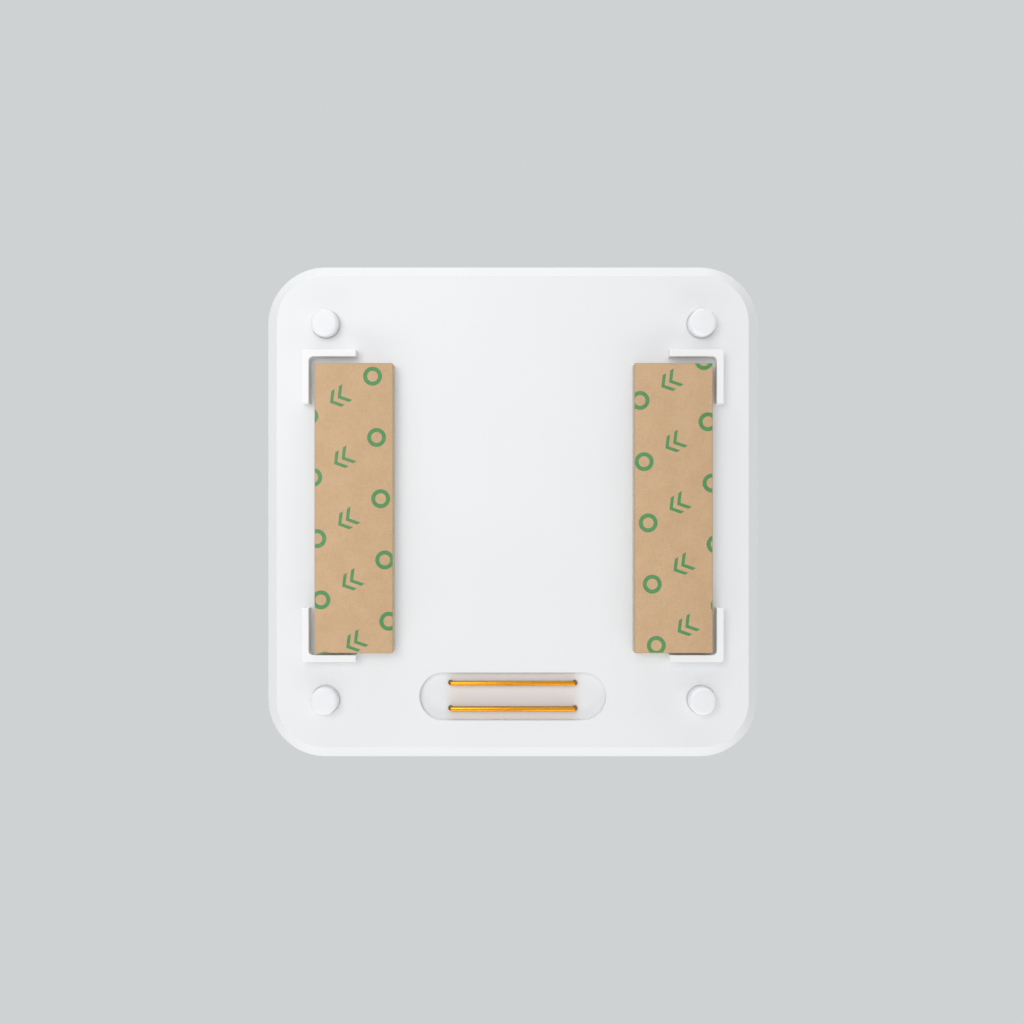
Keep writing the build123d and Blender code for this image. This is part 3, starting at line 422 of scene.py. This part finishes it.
def addAntennaCeramic():
    add, shader, point = newMaterial("silveredCeramic")
    middle = boxOf("antenna")[2]
    local = add(
        "Mapping",
        {"Vector": point, "Location": (-middle.x, -middle.y, 0), "Scale": (1 / mm, 1 / mm, 1 / mm)},
    )
    place = add("SeparateXYZ", {0: local})
    step = add("Math", {0: place.outputs["Y"], 1: antenna["pitch"] / 2}, "PINGPONG")
    line = add("Math", {0: step, 1: antenna["width"] / 2}, "LESS_THAN")
    sideways = add("Math", {0: place.outputs["X"]}, "ABSOLUTE")
    within = add("Math", {0: sideways, 1: antenna["reach"]}, "LESS_THAN")
    track = add("Math", {0: line, 1: within}, "MULTIPLY")
    away = add("Math", {0: place.outputs["Y"]}, "ABSOLUTE")
    end = add("Math", {0: away, 1: antenna["end"]}, "GREATER_THAN")
    silver = add("Math", {0: track, 1: end}, "MAXIMUM")
    glaze = add("TexNoise", {"Vector": point, "Scale": 1 / (antenna["grain"] * mm)})
    colour = add("Mix", {0: glaze, 6: antenna["colour"], 7: antenna["glaze"]}, "RGBA")
    colour = add("Mix", {0: silver, 6: colour, 7: antenna["silver"]}, "RGBA")
    rough = add("MapRange", {0: glaze, 3: antenna["rough"][0], 4: antenna["rough"][1]})
    setInputs(shader, {"Base Color": colour, "Metallic": silver, "Roughness": rough})


# Stage, in metres: two boards that fade out from their middle and show only one face. The floor shows
# from above and fades into the backdrop, so that no horizon shows. The card lies face down just over it:
# it stops what the lit underside would throw down on the floor, and leaves the object's shadow whole
boards = {
    "floor": {
        "finish": "paintedBoard", "colour": "#D3D6D7", "size": 6.0, "height": 0.0, "turn": 0.0,
        "fadeFrom": 0.16, "fadeTo": 0.75,
        "unseen": ("visible_diffuse", "visible_glossy", "visible_transmission", "visible_shadow"),
    },
    "greyCard": {
        "finish": "greyCardboard", "colour": "#8A8D90", "size": 0.07, "height": 0.15 * mm, "turn": math.pi,
        "fadeFrom": 0.022, "fadeTo": 0.034,
        "unseen": ("visible_camera", "visible_glossy", "visible_transmission", "visible_shadow"),
    },
}
world = {"colour": "#FFFFFF", "strength": 0.46, "backdrop": "#CFD2D3"}


def addStage():
    for name, board in boards.items():
        bpy.ops.mesh.primitive_plane_add(
            size=board["size"], location=(0, 0, board["height"]), rotation=(board["turn"], 0, 0)
        )
        made = bpy.context.object
        made.name = name
        for ray in board["unseen"]:
            setattr(made, ray, False)
        matte = {"Base Color": board["colour"], "Roughness": 0.9, "Specular IOR Level": 0.1}
        add, shader, point = newMaterial(board["finish"], matte)
        far = add("VectorMath", {0: point}, "LENGTH")
        fade = add("MapRange", {0: far, 1: board["fadeFrom"], 2: board["fadeTo"]}, interpolation_type="SMOOTHSTEP")
        back = add("NewGeometry").outputs["Backfacing"]
        gone = add("Math", {0: back, 1: fade}, "MAXIMUM")
        mix = add("MixShader", {0: gone, 1: shader, 2: add("BsdfTransparent")})
        material = materials[board["finish"]]
        setInputs(material.node_tree.nodes["Material Output"], {"Surface": mix})
        made.data.materials.append(material)
    studio = bpy.data.worlds.new("studio")
    bpy.context.scene.world = studio
    studio.use_nodes = True
    add = partial(addNode, studio.node_tree)
    path = add("LightPath")
    shown = path.outputs["Is Camera Ray"]
    for ray in ("Is Glossy Ray", "Is Transmission Ray"):
        shown = add("Math", {0: shown, 1: path.outputs[ray]}, "MAXIMUM")
    colour = add("Mix", {0: shown, 6: world["colour"], 7: world["backdrop"]}, "RGBA")
    strength = add("Mix", {0: shown, 2: world["strength"], 3: 1.0}, "FLOAT")
    setInputs(studio.node_tree.nodes["Background"], {"Color": colour, "Strength": strength})


# Lamps: soft panels below for the underside, soft panels above for the cover and the floor
lamps = {
    "keyBelow": {"place": (0.09, 0.072, -0.20), "size": (0.13, 0.13), "power": 0.142},
    "softBelow": {"place": (0.04, 0.02, -0.33), "size": (0.60, 0.60), "power": 0.39},
    "nearRight": {"place": (-0.25, -0.52, -0.155), "size": (0.50, 0.28), "power": 0.98},
    "nearLeft": {"place": (0.25, -0.52, -0.155), "size": (0.50, 0.28), "power": 0.93},
    "farEdge": {"place": (0.0, 0.594, -0.078), "size": (0.60, 0.14), "power": 1.34},
    "keyAbove": {"place": (-0.42, 0.12, 0.62), "size": (0.50, 0.50), "power": 2.3},
    "fillAbove": {"place": (0.40, 0.15, 0.62), "size": (0.50, 0.50), "power": 1.2},
}


def addLamps():
    for name, lamp in lamps.items():
        place = Vector(lamp["place"])
        bpy.ops.object.light_add(type="AREA", location=place)
        made = bpy.context.object
        made.name = name
        made.rotation_euler = (-place).to_track_quat("-Z", "Y").to_euler()
        made.data.shape = "RECTANGLE"
        made.data.size, made.data.size_y = lamp["size"]
        made.data.energy = lamp["power"]


# Modelling: pieces are shaped in millimetres and brought down to metres when they are finished
def leaveEdit():
    if bpy.context.mode != "OBJECT":
        bpy.ops.object.mode_set(mode="OBJECT")


def editAll():
    # opens the active piece with all of it selected
    bpy.context.scene.tool_settings.mesh_select_mode = (True, False, False)
    bpy.ops.object.mode_set(mode="EDIT")
    bpy.ops.mesh.select_all(action="SELECT")


def startPlate(name, centre, size, corner, height, segments=6):
    # a flat rounded rectangle, left open in edit mode with its face selected
    bpy.ops.mesh.primitive_plane_add(size=1, location=(centre[0], centre[1], height))
    piece = bpy.context.object
    piece.name = name
    piece.scale = (size[0], size[1], 1)
    bpy.ops.object.transform_apply()
    editAll()
    if corner:
        bpy.ops.mesh.bevel(offset=corner, segments=segments, affect="VERTICES")
        bpy.ops.mesh.select_all(action="SELECT")
    return piece


def cutFrame(width):
    # takes the middle out of an open plate and leaves its rim selected
    bpy.ops.mesh.inset(thickness=width)
    bpy.ops.mesh.delete(type="FACE")
    bpy.ops.mesh.select_all(action="SELECT")


def pull(shift):
    # extrudes what is selected
    bpy.ops.mesh.extrude_region_move(TRANSFORM_OT_translate={"value": shift})


def raiseFace(height, growth=None):
    # extrudes what is selected upwards, and may spread or draw it in by growth
    pull((0, 0, height))
    if growth:
        bpy.ops.transform.resize(value=(growth[0], growth[1], 1))


def turnPiece(name, points, centre, axis, steps):
    # a chain of edges through the points, turned once round the axis
    bpy.ops.mesh.primitive_plane_add(size=1, location=(0, 0, 0))
    piece = bpy.context.object
    piece.name = name
    editAll()
    bpy.ops.mesh.merge(type="CENTER")
    bpy.ops.transform.translate(value=points[0])
    for start, end in zip(points, points[1:]):
        step = Vector(end) - Vector(start)
        bpy.ops.mesh.extrude_vertices_move(TRANSFORM_OT_translate={"value": step})
    bpy.ops.mesh.select_all(action="SELECT")
    bpy.ops.mesh.spin(steps=steps, angle=2 * math.pi, center=centre, axis=axis, use_auto_merge=False)
    leaveEdit()
    return piece


def turnUpright(name, profile, spot, steps=72):
    # a profile of (radius, height) turned round the upright line through the spot
    points = [(spot[0] + across, spot[1], height) for across, height in profile]
    return turnPiece(name, points, (spot[0], spot[1], 0), (0, 0, 1), steps)


def arcPoints(centre, radius, start, end, count):
    # (across, along) points on an arc, from one angle to the other in degrees
    angles = [math.radians(start + (end - start) * i / count) for i in range(count + 1)]
    return [(centre[0] + radius * math.cos(a), centre[1] + radius * math.sin(a)) for a in angles]


def addModifier(piece, kind, **settings):
    leaveEdit()
    bpy.context.view_layer.objects.active = piece
    modifier = piece.modifiers.new(kind.lower(), kind)
    for name, value in settings.items():
        setattr(modifier, name, value)
    bpy.ops.object.modifier_apply(modifier=modifier.name)


def copyPiece(piece, name, shift):
    copy = piece.copy()
    copy.data = piece.data.copy()
    copy.name = name
    bpy.context.collection.objects.link(copy)
    copy.data.transform(Matrix.Translation(shift))
    return copy


def joinPieces(pieces, name):
    leaveEdit()
    bpy.ops.object.select_all(action="DESELECT")
    for piece in pieces:
        piece.select_set(True)
    bpy.context.view_layer.objects.active = pieces[0]
    bpy.ops.object.join()
    pieces[0].name = name
    return pieces[0]


def joinPlates(name, plates, corner, low, tall, segments):
    # one piece of several plates, each given by its middle and size
    made = []
    for centre, size in plates:
        made.append(startPlate("plate", centre, size, corner, low, segments))
        raiseFace(tall)
        leaveEdit()
    return joinPieces(made, name)


def finishPiece(piece, body, material, replaced=(), smooth=32):
    leaveEdit()
    bpy.ops.object.select_all(action="DESELECT")
    piece.select_set(True)
    bpy.context.view_layer.objects.active = piece
    editAll()
    bpy.ops.mesh.remove_doubles(threshold=0.0008)
    bpy.ops.mesh.normals_make_consistent(inside=False)
    leaveEdit()
    piece.scale = (mm, mm, mm)
    bpy.ops.object.transform_apply()
    bpy.ops.object.shade_smooth_by_angle(angle=math.radians(smooth))
    if material:
        piece.data.materials.clear()
        piece.data.materials.append(materials[material])
    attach(piece, body)
    if replaced:
        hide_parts(*replaced)


def boxOf(name):
    # a CAD node's lowest and highest corners and its middle, in millimetres
    low, high = (Vector(corner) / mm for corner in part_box(name))
    return low, high, (low + high) / 2


# Feet: low silicone buttons with a rounded rim and a stem in the shell, one modelled and three copied
foot = {"edgeRadius": 0.45, "dome": 0.03, "flat": 1.0, "shoulder": 2.1, "stemRadius": 1.0, "stemTop": 2.8}


def addFeet():
    low, high, middle = boxOf("front_left_foot")
    radius, rim = (high.x - low.x) / 2, foot["edgeRadius"]
    profile = [(0, low.z), (foot["flat"], low.z + foot["dome"] / 4)]
    profile += arcPoints((radius - rim, low.z + foot["dome"] + rim), rim, -90, 0, count=8)
    profile += [(radius, foot["shoulder"]), (foot["stemRadius"], foot["shoulder"]),
                (foot["stemRadius"], foot["stemTop"]), (0, foot["stemTop"])]
    first = turnUpright("foot_front_left", profile, middle)
    made = [(first, "front_left_foot")]
    for node in ("front_right_foot", "rear_left_foot", "rear_right_foot"):
        name = "foot_" + node.replace("_foot", "")
        made.append((copyPiece(first, name, boxOf(node)[2] - middle), node))
    for piece, node in made:
        finishPiece(piece, "base", "pressedSilicone", [node])


# Pads: foam tape whose die-cut sides draw in a little between the two adhesive films
pad = {"corner": 0.12, "film": 0.09, "drawn": 0.09, "layers": 8}


def addPads():
    for side in ("left", "right"):
        low, high, middle = boxOf(side + "_adhesive_pad")
        size = (high.x - low.x, high.y - low.y)
        piece = startPlate("foamPad_" + side, middle, size, pad["corner"], low.z, segments=4)
        raiseFace(pad["film"])
        foamHeight = high.z - low.z - 2 * pad["film"]
        drawnBefore = 0
        for layer in range(1, pad["layers"] + 1):
            drawn = pad["drawn"] * math.sin(math.pi * layer / pad["layers"])
            change = 2 * (drawnBefore - drawn)
            raiseFace(foamHeight / pad["layers"], (1 + change / size[0], 1 + change / size[1]))
            drawnBefore = drawn
        raiseFace(pad["film"])
        finishPiece(piece, "base", "closedCellFoam", [side + "_adhesive_pad"])


# Liners: sheets of paper as long and wide as the pads, with the edges softened by the knife
liner = {"corner": 0.12, "edge": 0.02}


def addLiners():
    for side in ("left", "right"):
        node = side + "_release_liner"
        low, high, middle = boxOf(node)
        size = (high.x - low.x, high.y - low.y)
        piece = startPlate("paperLiner_" + side, middle, size, liner["corner"], low.z, segments=5)
        raiseFace(high.z - low.z)
        addModifier(piece, "BEVEL", width=liner["edge"], segments=2, limit_method="ANGLE")
        addKraftPaper("kraftPaper_" + side, middle * mm, (size[0] * mm, size[1] * mm))
        finishPiece(piece, "base", "kraftPaper_" + side, [node])


# Sensing bars: gold wire bent to a staple, drawn as one circle that is extruded and turned. The die
# leaves three flats at each bend, which show as short dark ends, darkened further by painted shade in the gold plate
bar = {"radius": 0.325, "bend": 0.4, "sides": 40, "bendSteps": 3, "smooth": 22}


def addBars():
    for name in ("rear_contact_bar", "front_contact_bar"):
        low, high, middle = boxOf(name)
        legX = (high.x - low.x) / 2 - bar["radius"]
        bendX, bendZ = legX - bar["bend"], low.z + bar["radius"] + bar["bend"]
        bpy.ops.mesh.primitive_circle_add(
            vertices=bar["sides"], radius=bar["radius"], fill_type="NGON", location=(-legX, middle.y, high.z)
        )
        piece = bpy.context.object
        piece.name = name.replace("_contact_bar", "GoldBar")
        bpy.ops.object.transform_apply()
        editAll()
        pull((0, 0, bendZ - high.z))
        for x, onward in ((-bendX, (2 * bendX, 0, 0)), (bendX, (0, 0, high.z - bendZ))):
            bpy.ops.mesh.spin(
                steps=bar["bendSteps"], angle=math.pi / 2, center=(x, middle.y, bendZ), axis=(0, 1, 0)
            )
            pull(onward)
        finishPiece(piece, "base", "goldPlate", [name], smooth=bar["smooth"])


# Soft rings and films inside: drawn as sections and turned, or cut from a plate
gasket = {"corner": 6.4, "width": 0.9, "round": 0.2}


def addCoverGasket():
    low, high, middle = boxOf("cover_gasket")
    size = (high.x - low.x, high.y - low.y)
    piece = startPlate("gasketBead", middle, size, gasket["corner"], low.z, segments=12)
    cutFrame(gasket["width"])
    raiseFace(high.z - low.z)
    addModifier(piece, "BEVEL", width=gasket["round"], segments=3, limit_method="ANGLE")
    finishPiece(piece, "base", "greySilicone", ["cover_gasket"])


bung = {"lips": 3, "waist": 0.3, "smooth": 50}  # the seal draws in by its waist between the lips


def addContactSeal():
    low, high, middle = boxOf("contact_seal")
    size = (high.x - low.x, high.y - low.y)
    piece = startPlate("sealBung", middle, size, size[1] / 2, low.z, segments=14)
    step = (high.z - low.z) / bung["lips"] / 2
    drawn = [1 - bung["waist"] / side for side in size]
    for lip in range(bung["lips"]):
        raiseFace(step, drawn)
        raiseFace(step, [1 / share for share in drawn])
    finishPiece(piece, "base", "greySilicone", ["contact_seal"], smooth=bung["smooth"])


def ringSection(inner, outer, low, high, waist, steps=8):
    # the outline of a flat ring, (radius, height), whose sides draw in by waist, or bulge if it is negative
    sides = [(waist * math.sin(math.pi * i / steps), (high - low) * i / steps) for i in range(steps + 1)]
    points = [(inner + drawn, low + up) for drawn, up in sides]
    points += [(outer - drawn, high - up) for drawn, up in sides]
    return points + [points[0]]


rings = {
    # name of the piece: node, body, slot, material, inner radius, waist (None for a round section)
    "returnRing": ("button_return_pad", "cover", "seal_silicone", "greySilicone", 2.6, 0.16),
    "sounderFoamRing": ("sounder_gasket", "cover", "black_foam", "openCellFoam", 4.4, -0.12),
    "stemRing": ("button_ring_seal", "button", "seal_silicone", "greySilicone", 1.3, None),
}


def addRings():
    for name, (node, body, slotName, material, inner, waist) in rings.items():
        low, high, middle = boxOf(node)
        outer = (high.x - low.x) / 2
        if waist is None:
            section = arcPoints(((inner + outer) / 2, middle.z), (outer - inner) / 2, 0, 360, count=20)
        else:
            section = ringSection(inner, outer, low.z, high.z, waist)
        piece = turnUpright(name, section, middle)
        finishPiece(piece, body, material, [node])
        if node == "button_return_pad":
            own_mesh(piece)


# Vent film: (radius, height) of its slack middle and of the pressed line where it is welded on
ventFilm = {"weld": [(0, 0.02), (3.2, 0), (3.3, 0.09), (3.9, 0.09), (4.0, 0)], "rim": 0.03}


def addVentFilm():
    low, high, middle = boxOf("vent_membrane")
    outer = (high.x - low.x) / 2
    profile = [(across, low.z + up) for across, up in ventFilm["weld"]]
    profile += [(outer, low.z + ventFilm["rim"]), (outer, high.z), (0, high.z)]
    piece = turnUpright("ventFilm", profile, middle, steps=64)
    finishPiece(piece, "cover", "porousFilm", ["vent_membrane"])


# Cells: a steel can in a shrink sleeve that rolls over both ends, turned from its outline, which is
# given as (distance from the flat end, radius)
cell = {
    "sleeveEdge": 4.35,
    "outline": [(0.16, 0), (0.16, 2.7), (0, 3.0), (0, 4.2), (0.24, 4.36), (0.14, 4.6), (0.08, 4.8), (0.14, 5.05),
                (0.32, 5.2), (0.6, 5.25), (42.9, 5.25), (43.2, 5.2), (43.38, 5.05), (43.44, 4.8), (43.38, 4.6),
                (43.2, 4.36), (43.28, 4.1), (43.28, 2.6), (43.36, 2.1), (43.5, 1.92), (44.2, 1.88), (44.42, 1.75),
                (44.5, 1.45), (44.5, 0)],
}


def addCells():
    for name, side in (("front", -1), ("rear", 1)):
        node = name + "_cell"
        low, high, middle = boxOf(node)
        flatEnd = low.x if side > 0 else high.x
        points = [(flatEnd + side * along, middle.y, middle.z + across) for along, across in cell["outline"]]
        piece = turnPiece("cell_" + name, points, (0, middle.y, middle.z), (1, 0, 0), steps=96)
        addShrinkSleeve("shrinkSleeve_" + name, side)
        piece.data.materials.append(materials["shrinkSleeve_" + name])
        piece.data.materials.append(materials["cellSteel"])
        for face in piece.data.polygons:
            radius = math.hypot(face.center.y - middle.y, face.center.z - middle.z)
            face.material_index = 0 if radius > cell["sleeveEdge"] else 1
        finishPiece(piece, node, None, [node], smooth=40)


# Small parts on the board. The can's side is given up from its base, with the groove that grips the
# rubber seal, as (drawn in, height)
boardTop = 6.7
canCapacitor = {"spot": (-20.5, -19.5), "base": 5.0, "baseHeight": 0.9, "corner": 0.9, "baseRound": 0.08,
                "radius": 2.45, "rim": 0.35, "vent": (0.5, 0.04),
                "side": [(0.1, 0), (0, 0.1), (0, 0.55), (0.16, 0.72), (0.16, 0.88), (0, 1.05)]}
chips = {"size": (1.6, 0.8, 0.8), "cap": 0.52, "round": 0.07,
         "spots": [(-19.0, -6.0), (-19.0, -8.5), (-19.0, -11.0), (11.0, -2.0), (15.0, -2.0)]}


def addCapacitors():
    top = boxOf("capacitors")[1].z
    spot, radius, rim = canCapacitor["spot"], canCapacitor["radius"], canCapacitor["rim"]
    bottom = boardTop + canCapacitor["baseHeight"]
    square = (canCapacitor["base"], canCapacitor["base"])
    base = startPlate("capacitorBase", spot, square, canCapacitor["corner"], boardTop, segments=1)
    raiseFace(canCapacitor["baseHeight"])
    addModifier(base, "BEVEL", width=canCapacitor["baseRound"], segments=2, limit_method="ANGLE")
    finishPiece(base, "base", "mouldingCompound")
    profile = [(0, bottom)] + [(radius - drawn, bottom + up) for drawn, up in canCapacitor["side"]]
    profile += arcPoints((radius - rim, top - rim), rim, 0, 90, count=6)
    inward, sunk = canCapacitor["vent"]
    profile += [(radius - inward, top - sunk), (0, top - sunk)]
    can = turnUpright("capacitorCan", profile, spot, steps=64)
    finishPiece(can, "base", "drawnAluminium", ["capacitors"])
    made = []
    for x, y in chips["spots"]:
        bpy.ops.mesh.primitive_cube_add(size=1, location=(x, y, boardTop + chips["size"][2] / 2))
        chip = bpy.context.object
        chip.scale = chips["size"]
        bpy.ops.object.transform_apply()
        editAll()
        for side in (-1, 1):
            bpy.ops.mesh.select_all(action="SELECT")
            bpy.ops.mesh.bisect(plane_co=(x + side * chips["cap"], y, 0), plane_no=(1, 0, 0))
        addModifier(chip, "BEVEL", width=chips["round"], segments=2, limit_method="ANGLE")
        chip.data.materials.append(materials["brownCeramic"])
        chip.data.materials.append(materials["tinSolder"])
        for face in chip.data.polygons:
            face.material_index = 1 if abs(face.center.x - x) > chips["cap"] else 0
        made.append(chip)
    finishPiece(joinPieces(made, "ceramicChips"), "base", None, ["capacitors"])


# Leads of the processor: a flat that starts inside the body, a slope down to the board and a foot
lead = {"width": 0.32, "pitch": 0.8, "count": 8, "thick": 0.13, "height": 0.5, "rows": 4, "hidden": 0.05,
        "flat": 0.25, "slope": 0.12, "foot": 0.42, "footHeight": 0.08}


def addProcessorLeads():
    low, high, middle = boxOf("processor")
    centreX = high.x + (lead["flat"] - lead["hidden"]) / 2
    bpy.ops.mesh.primitive_plane_add(size=1, location=(centreX, middle.y, boardTop + lead["height"]))
    first = bpy.context.object
    first.scale = (lead["flat"] + lead["hidden"], lead["width"], 1)
    bpy.ops.object.transform_apply()
    mesh = first.data
    for group in (mesh.vertices, mesh.edges, mesh.polygons):
        group.foreach_set("select", [False] * len(group))
    for edge in mesh.edges:
        edge.select = all(mesh.vertices[index].co.x > centreX for index in edge.vertices)
    bpy.context.scene.tool_settings.mesh_select_mode = (False, True, False)
    bpy.ops.object.mode_set(mode="EDIT")
    pull((lead["slope"], 0, lead["footHeight"] - lead["height"]))
    pull((lead["foot"], 0, 0))
    addModifier(first, "SOLIDIFY", thickness=lead["thick"], offset=0.0)
    made = []
    for side in range(lead["rows"]):
        turn = Matrix.Translation(middle) @ Matrix.Rotation(side * math.pi / 2, 4, "Z") @ Matrix.Translation(-middle)
        for index in range(lead["count"]):
            shift = (index - (lead["count"] - 1) / 2) * lead["pitch"]
            made.append(copyPiece(first, "lead", (0, shift, 0)))
            made[-1].data.transform(turn)
    bpy.data.objects.remove(first)
    finishPiece(joinPieces(made, "processorLeads"), "base", "tinSolder", smooth=25)


# Solder: cones round the legs of the bars and domes on the tabs of the terminals, both given as
# (share of the radius, height over the surface). A tab's spot is counted from its terminal's low corner
solder = {"radius": 0.72, "tabTop": 7.0, "steps": 32, "smooth": 60,
          "cone": [(0, -0.01), (1, -0.01), (0.84, 0.05), (0.62, 0.14), (0.52, 0.25), (0.47, 0.34), (0, 0.36)],
          "dome": [(0, -0.01), (1, -0.01), (0.9, 0.12), (0.6, 0.255), (0, 0.3)],
          "tabs": {"positive_terminal": (1.2, 0.9), "negative_terminal": (1.05, 0.9)}}


def addSolder():
    spots = []
    for name in ("rear_contact_bar", "front_contact_bar"):
        low, high, middle = boxOf(name)
        spots += [((x, middle.y), boardTop, "cone") for x in (low.x + bar["radius"], high.x - bar["radius"])]
    for name, (x, y) in solder["tabs"].items():
        low = boxOf(name)[0]
        spots.append(((low.x + x, low.y + y), solder["tabTop"], "dome"))
    made = []
    for spot, surface, form in spots:
        profile = [(solder["radius"] * share, surface + up) for share, up in solder[form]]
        made.append(turnUpright("joint", profile, spot, solder["steps"]))
    finishPiece(joinPieces(made, "solderJoints"), "base", "tinSolder", smooth=solder["smooth"])


# Printed outlines on the board, each a thin frame round a part: (centre, size)
marks = {"line": 0.16, "thick": 0.02, "sunk": 0.005, "ring": 6.4,
         "frames": [((-13.0, -8.0), (9.9, 9.9)), ((-13.0, -14.6), (4.3, 2.4)), ((15.6, -11.0), (16.9, 12.9)),
                    ((0.0, 0.0), (6.9, 6.9)), ((-20.5, -19.5), (6.0, 6.0)), ((0.0, -9.2), (3.0, 2.1))]
         + [(spot, (2.5, 1.5)) for spot in chips["spots"]]}


def addBoardMarks():
    low = boardTop - marks["sunk"]
    made = []
    for centre, size in marks["frames"]:
        made.append(startPlate("mark", centre, size, 0, low))
        cutFrame(marks["line"])
        raiseFace(marks["thick"])
        leaveEdit()
    ring = ringSection(marks["ring"], marks["ring"] + marks["line"], low, boardTop + marks["thick"], 0, steps=1)
    made.append(turnUpright("mark", ring, boxOf("sounder")[2]))
    finishPiece(joinPieces(made, "boardMarks"), "base", "screenInk")


modulePads = {"width": 0.7, "pitch": 1.27, "count": 11, "deep": 0.75, "proud": 0.03, "corner": 0.12}


def addModulePads():
    low, high, middle = boxOf("radio_module")
    size = (modulePads["width"], modulePads["deep"])
    inward = modulePads["deep"] / 2 - modulePads["proud"]
    plates = []
    for y in (high.y - inward, low.y + inward):
        for index in range(modulePads["count"]):
            x = middle.x + (index - (modulePads["count"] - 1) / 2) * modulePads["pitch"]
            plates.append(((x, y), size))
    tall = high.z - low.z + modulePads["proud"]
    piece = joinPlates("modulePads", plates, modulePads["corner"], low.z, tall, segments=2)
    finishPiece(piece, "base", "immersionGold")


# Steel bezel round the switch's plunger with four rivets, given as (radius, height over the case)
bezel = {"inner": 1.9, "outer": 2.55, "thick": 0.14, "sunk": 0.02, "rivetAt": 2.35,
         "rivet": [(0, -0.02), (0.34, -0.02), (0.289, 0.1), (0, 0.16)]}


def addSwitchBezel():
    low, high, middle = boxOf("switch_case")
    section = ringSection(bezel["inner"], bezel["outer"], high.z - bezel["sunk"], high.z + bezel["thick"], 0, steps=2)
    made = [turnUpright("bezel", section, middle, steps=64)]
    profile = [(across, high.z + up) for across, up in bezel["rivet"]]
    for x in (-bezel["rivetAt"], bezel["rivetAt"]):
        for y in (-bezel["rivetAt"], bezel["rivetAt"]):
            made.append(turnUpright("rivet", profile, (middle.x + x, middle.y + y), steps=24))
    finishPiece(joinPieces(made, "switchBezel"), "base", "tinplate", smooth=40)


# Polarity marks on the floor of the holder: a cross at one end of each cell and a dash at the other
polarity = {"long": 2.6, "wide": 0.6, "proud": 0.16, "fromEnd": 5.0, "corner": 0.12, "floor": 4.3, "sunk": 0.01}


def addPolarityMarks():
    dash, upright = (polarity["long"], polarity["wide"]), (polarity["wide"], polarity["long"])
    plates = []
    for name, side in (("front_cell", -1), ("rear_cell", 1)):
        low, high, middle = boxOf(name)
        reach = side * ((high.x - low.x) / 2 - polarity["fromEnd"])
        plates += [((x, middle.y), size) for x, size in ((reach, dash), (reach, upright), (-reach, dash))]
    low = polarity["floor"] - polarity["sunk"]
    piece = joinPlates("polarityMarks", plates, polarity["corner"], low, polarity["proud"], segments=3)
    finishPiece(piece, "base", "coarseAbs", smooth=30)


# Smooth shading of the CAD nodes that stay: their loose triangles are welded and split at the
# sharp edges, and the flat faces keep their own normals
nodeShading = {"weld": 0.001, "sharp": 32}
nodeMaterials = {
    "base_shell": "erodedAbs", "top_cover": "erodedAbs", "circuit_board": "greenMask", "board_screws": "zincPlate",
    "battery_holder": "coarseAbs", "positive_terminal": "rolledNickel", "negative_terminal": "rolledNickel",
    "bridge_contact": "rolledNickel", "button_cap": "satinAbs", "button_clip": "zincPlate",
    "switch_case": "filledPbt", "switch_plunger": "turnedAcetal", "status_lamp": "castEpoxy",
    "light_pipe": "clearPolycarbonate", "sounder": "filledPbt", "radio_module": "blueMask",
    "radio_shield": "tinplate", "antenna": "silveredCeramic", "processor": "mouldingCompound", "crystal": "tinplate",
}


def dressNodes():
    for name, material in nodeMaterials.items():
        node = nodes[name]
        node.data.materials.clear()
        node.data.materials.append(materials[material])
        node.data.polygons.foreach_set("use_smooth", [True] * len(node.data.polygons))
        weld = node.modifiers.new("weld", "WELD")
        weld.merge_threshold = nodeShading["weld"] * mm
        split = node.modifiers.new("split", "EDGE_SPLIT")
        split.split_angle = math.radians(nodeShading["sharp"])
        split.use_edge_sharp = False
        node.modifiers.new("even", "WEIGHTED_NORMAL")


addCamera()
addStage()
addLamps()
print("stage, lamps and camera set")

addFinishes()
addGoldPlate()
addFoams()
addLaminates()
addAntennaCeramic()
print("materials made")

addFeet()
addPads()
addLiners()
addBars()
print("underside pieces modelled")

addCoverGasket()
addContactSeal()
addRings()
addVentFilm()
addCells()
print("seals and cells modelled")

addCapacitors()
addProcessorLeads()
addSolder()
addBoardMarks()
addModulePads()
addSwitchBezel()
addPolarityMarks()
print("board details modelled")

dressNodes()
print("nodes dressed")

bpy.context.scene.view_settings.view_transform = "Standard"
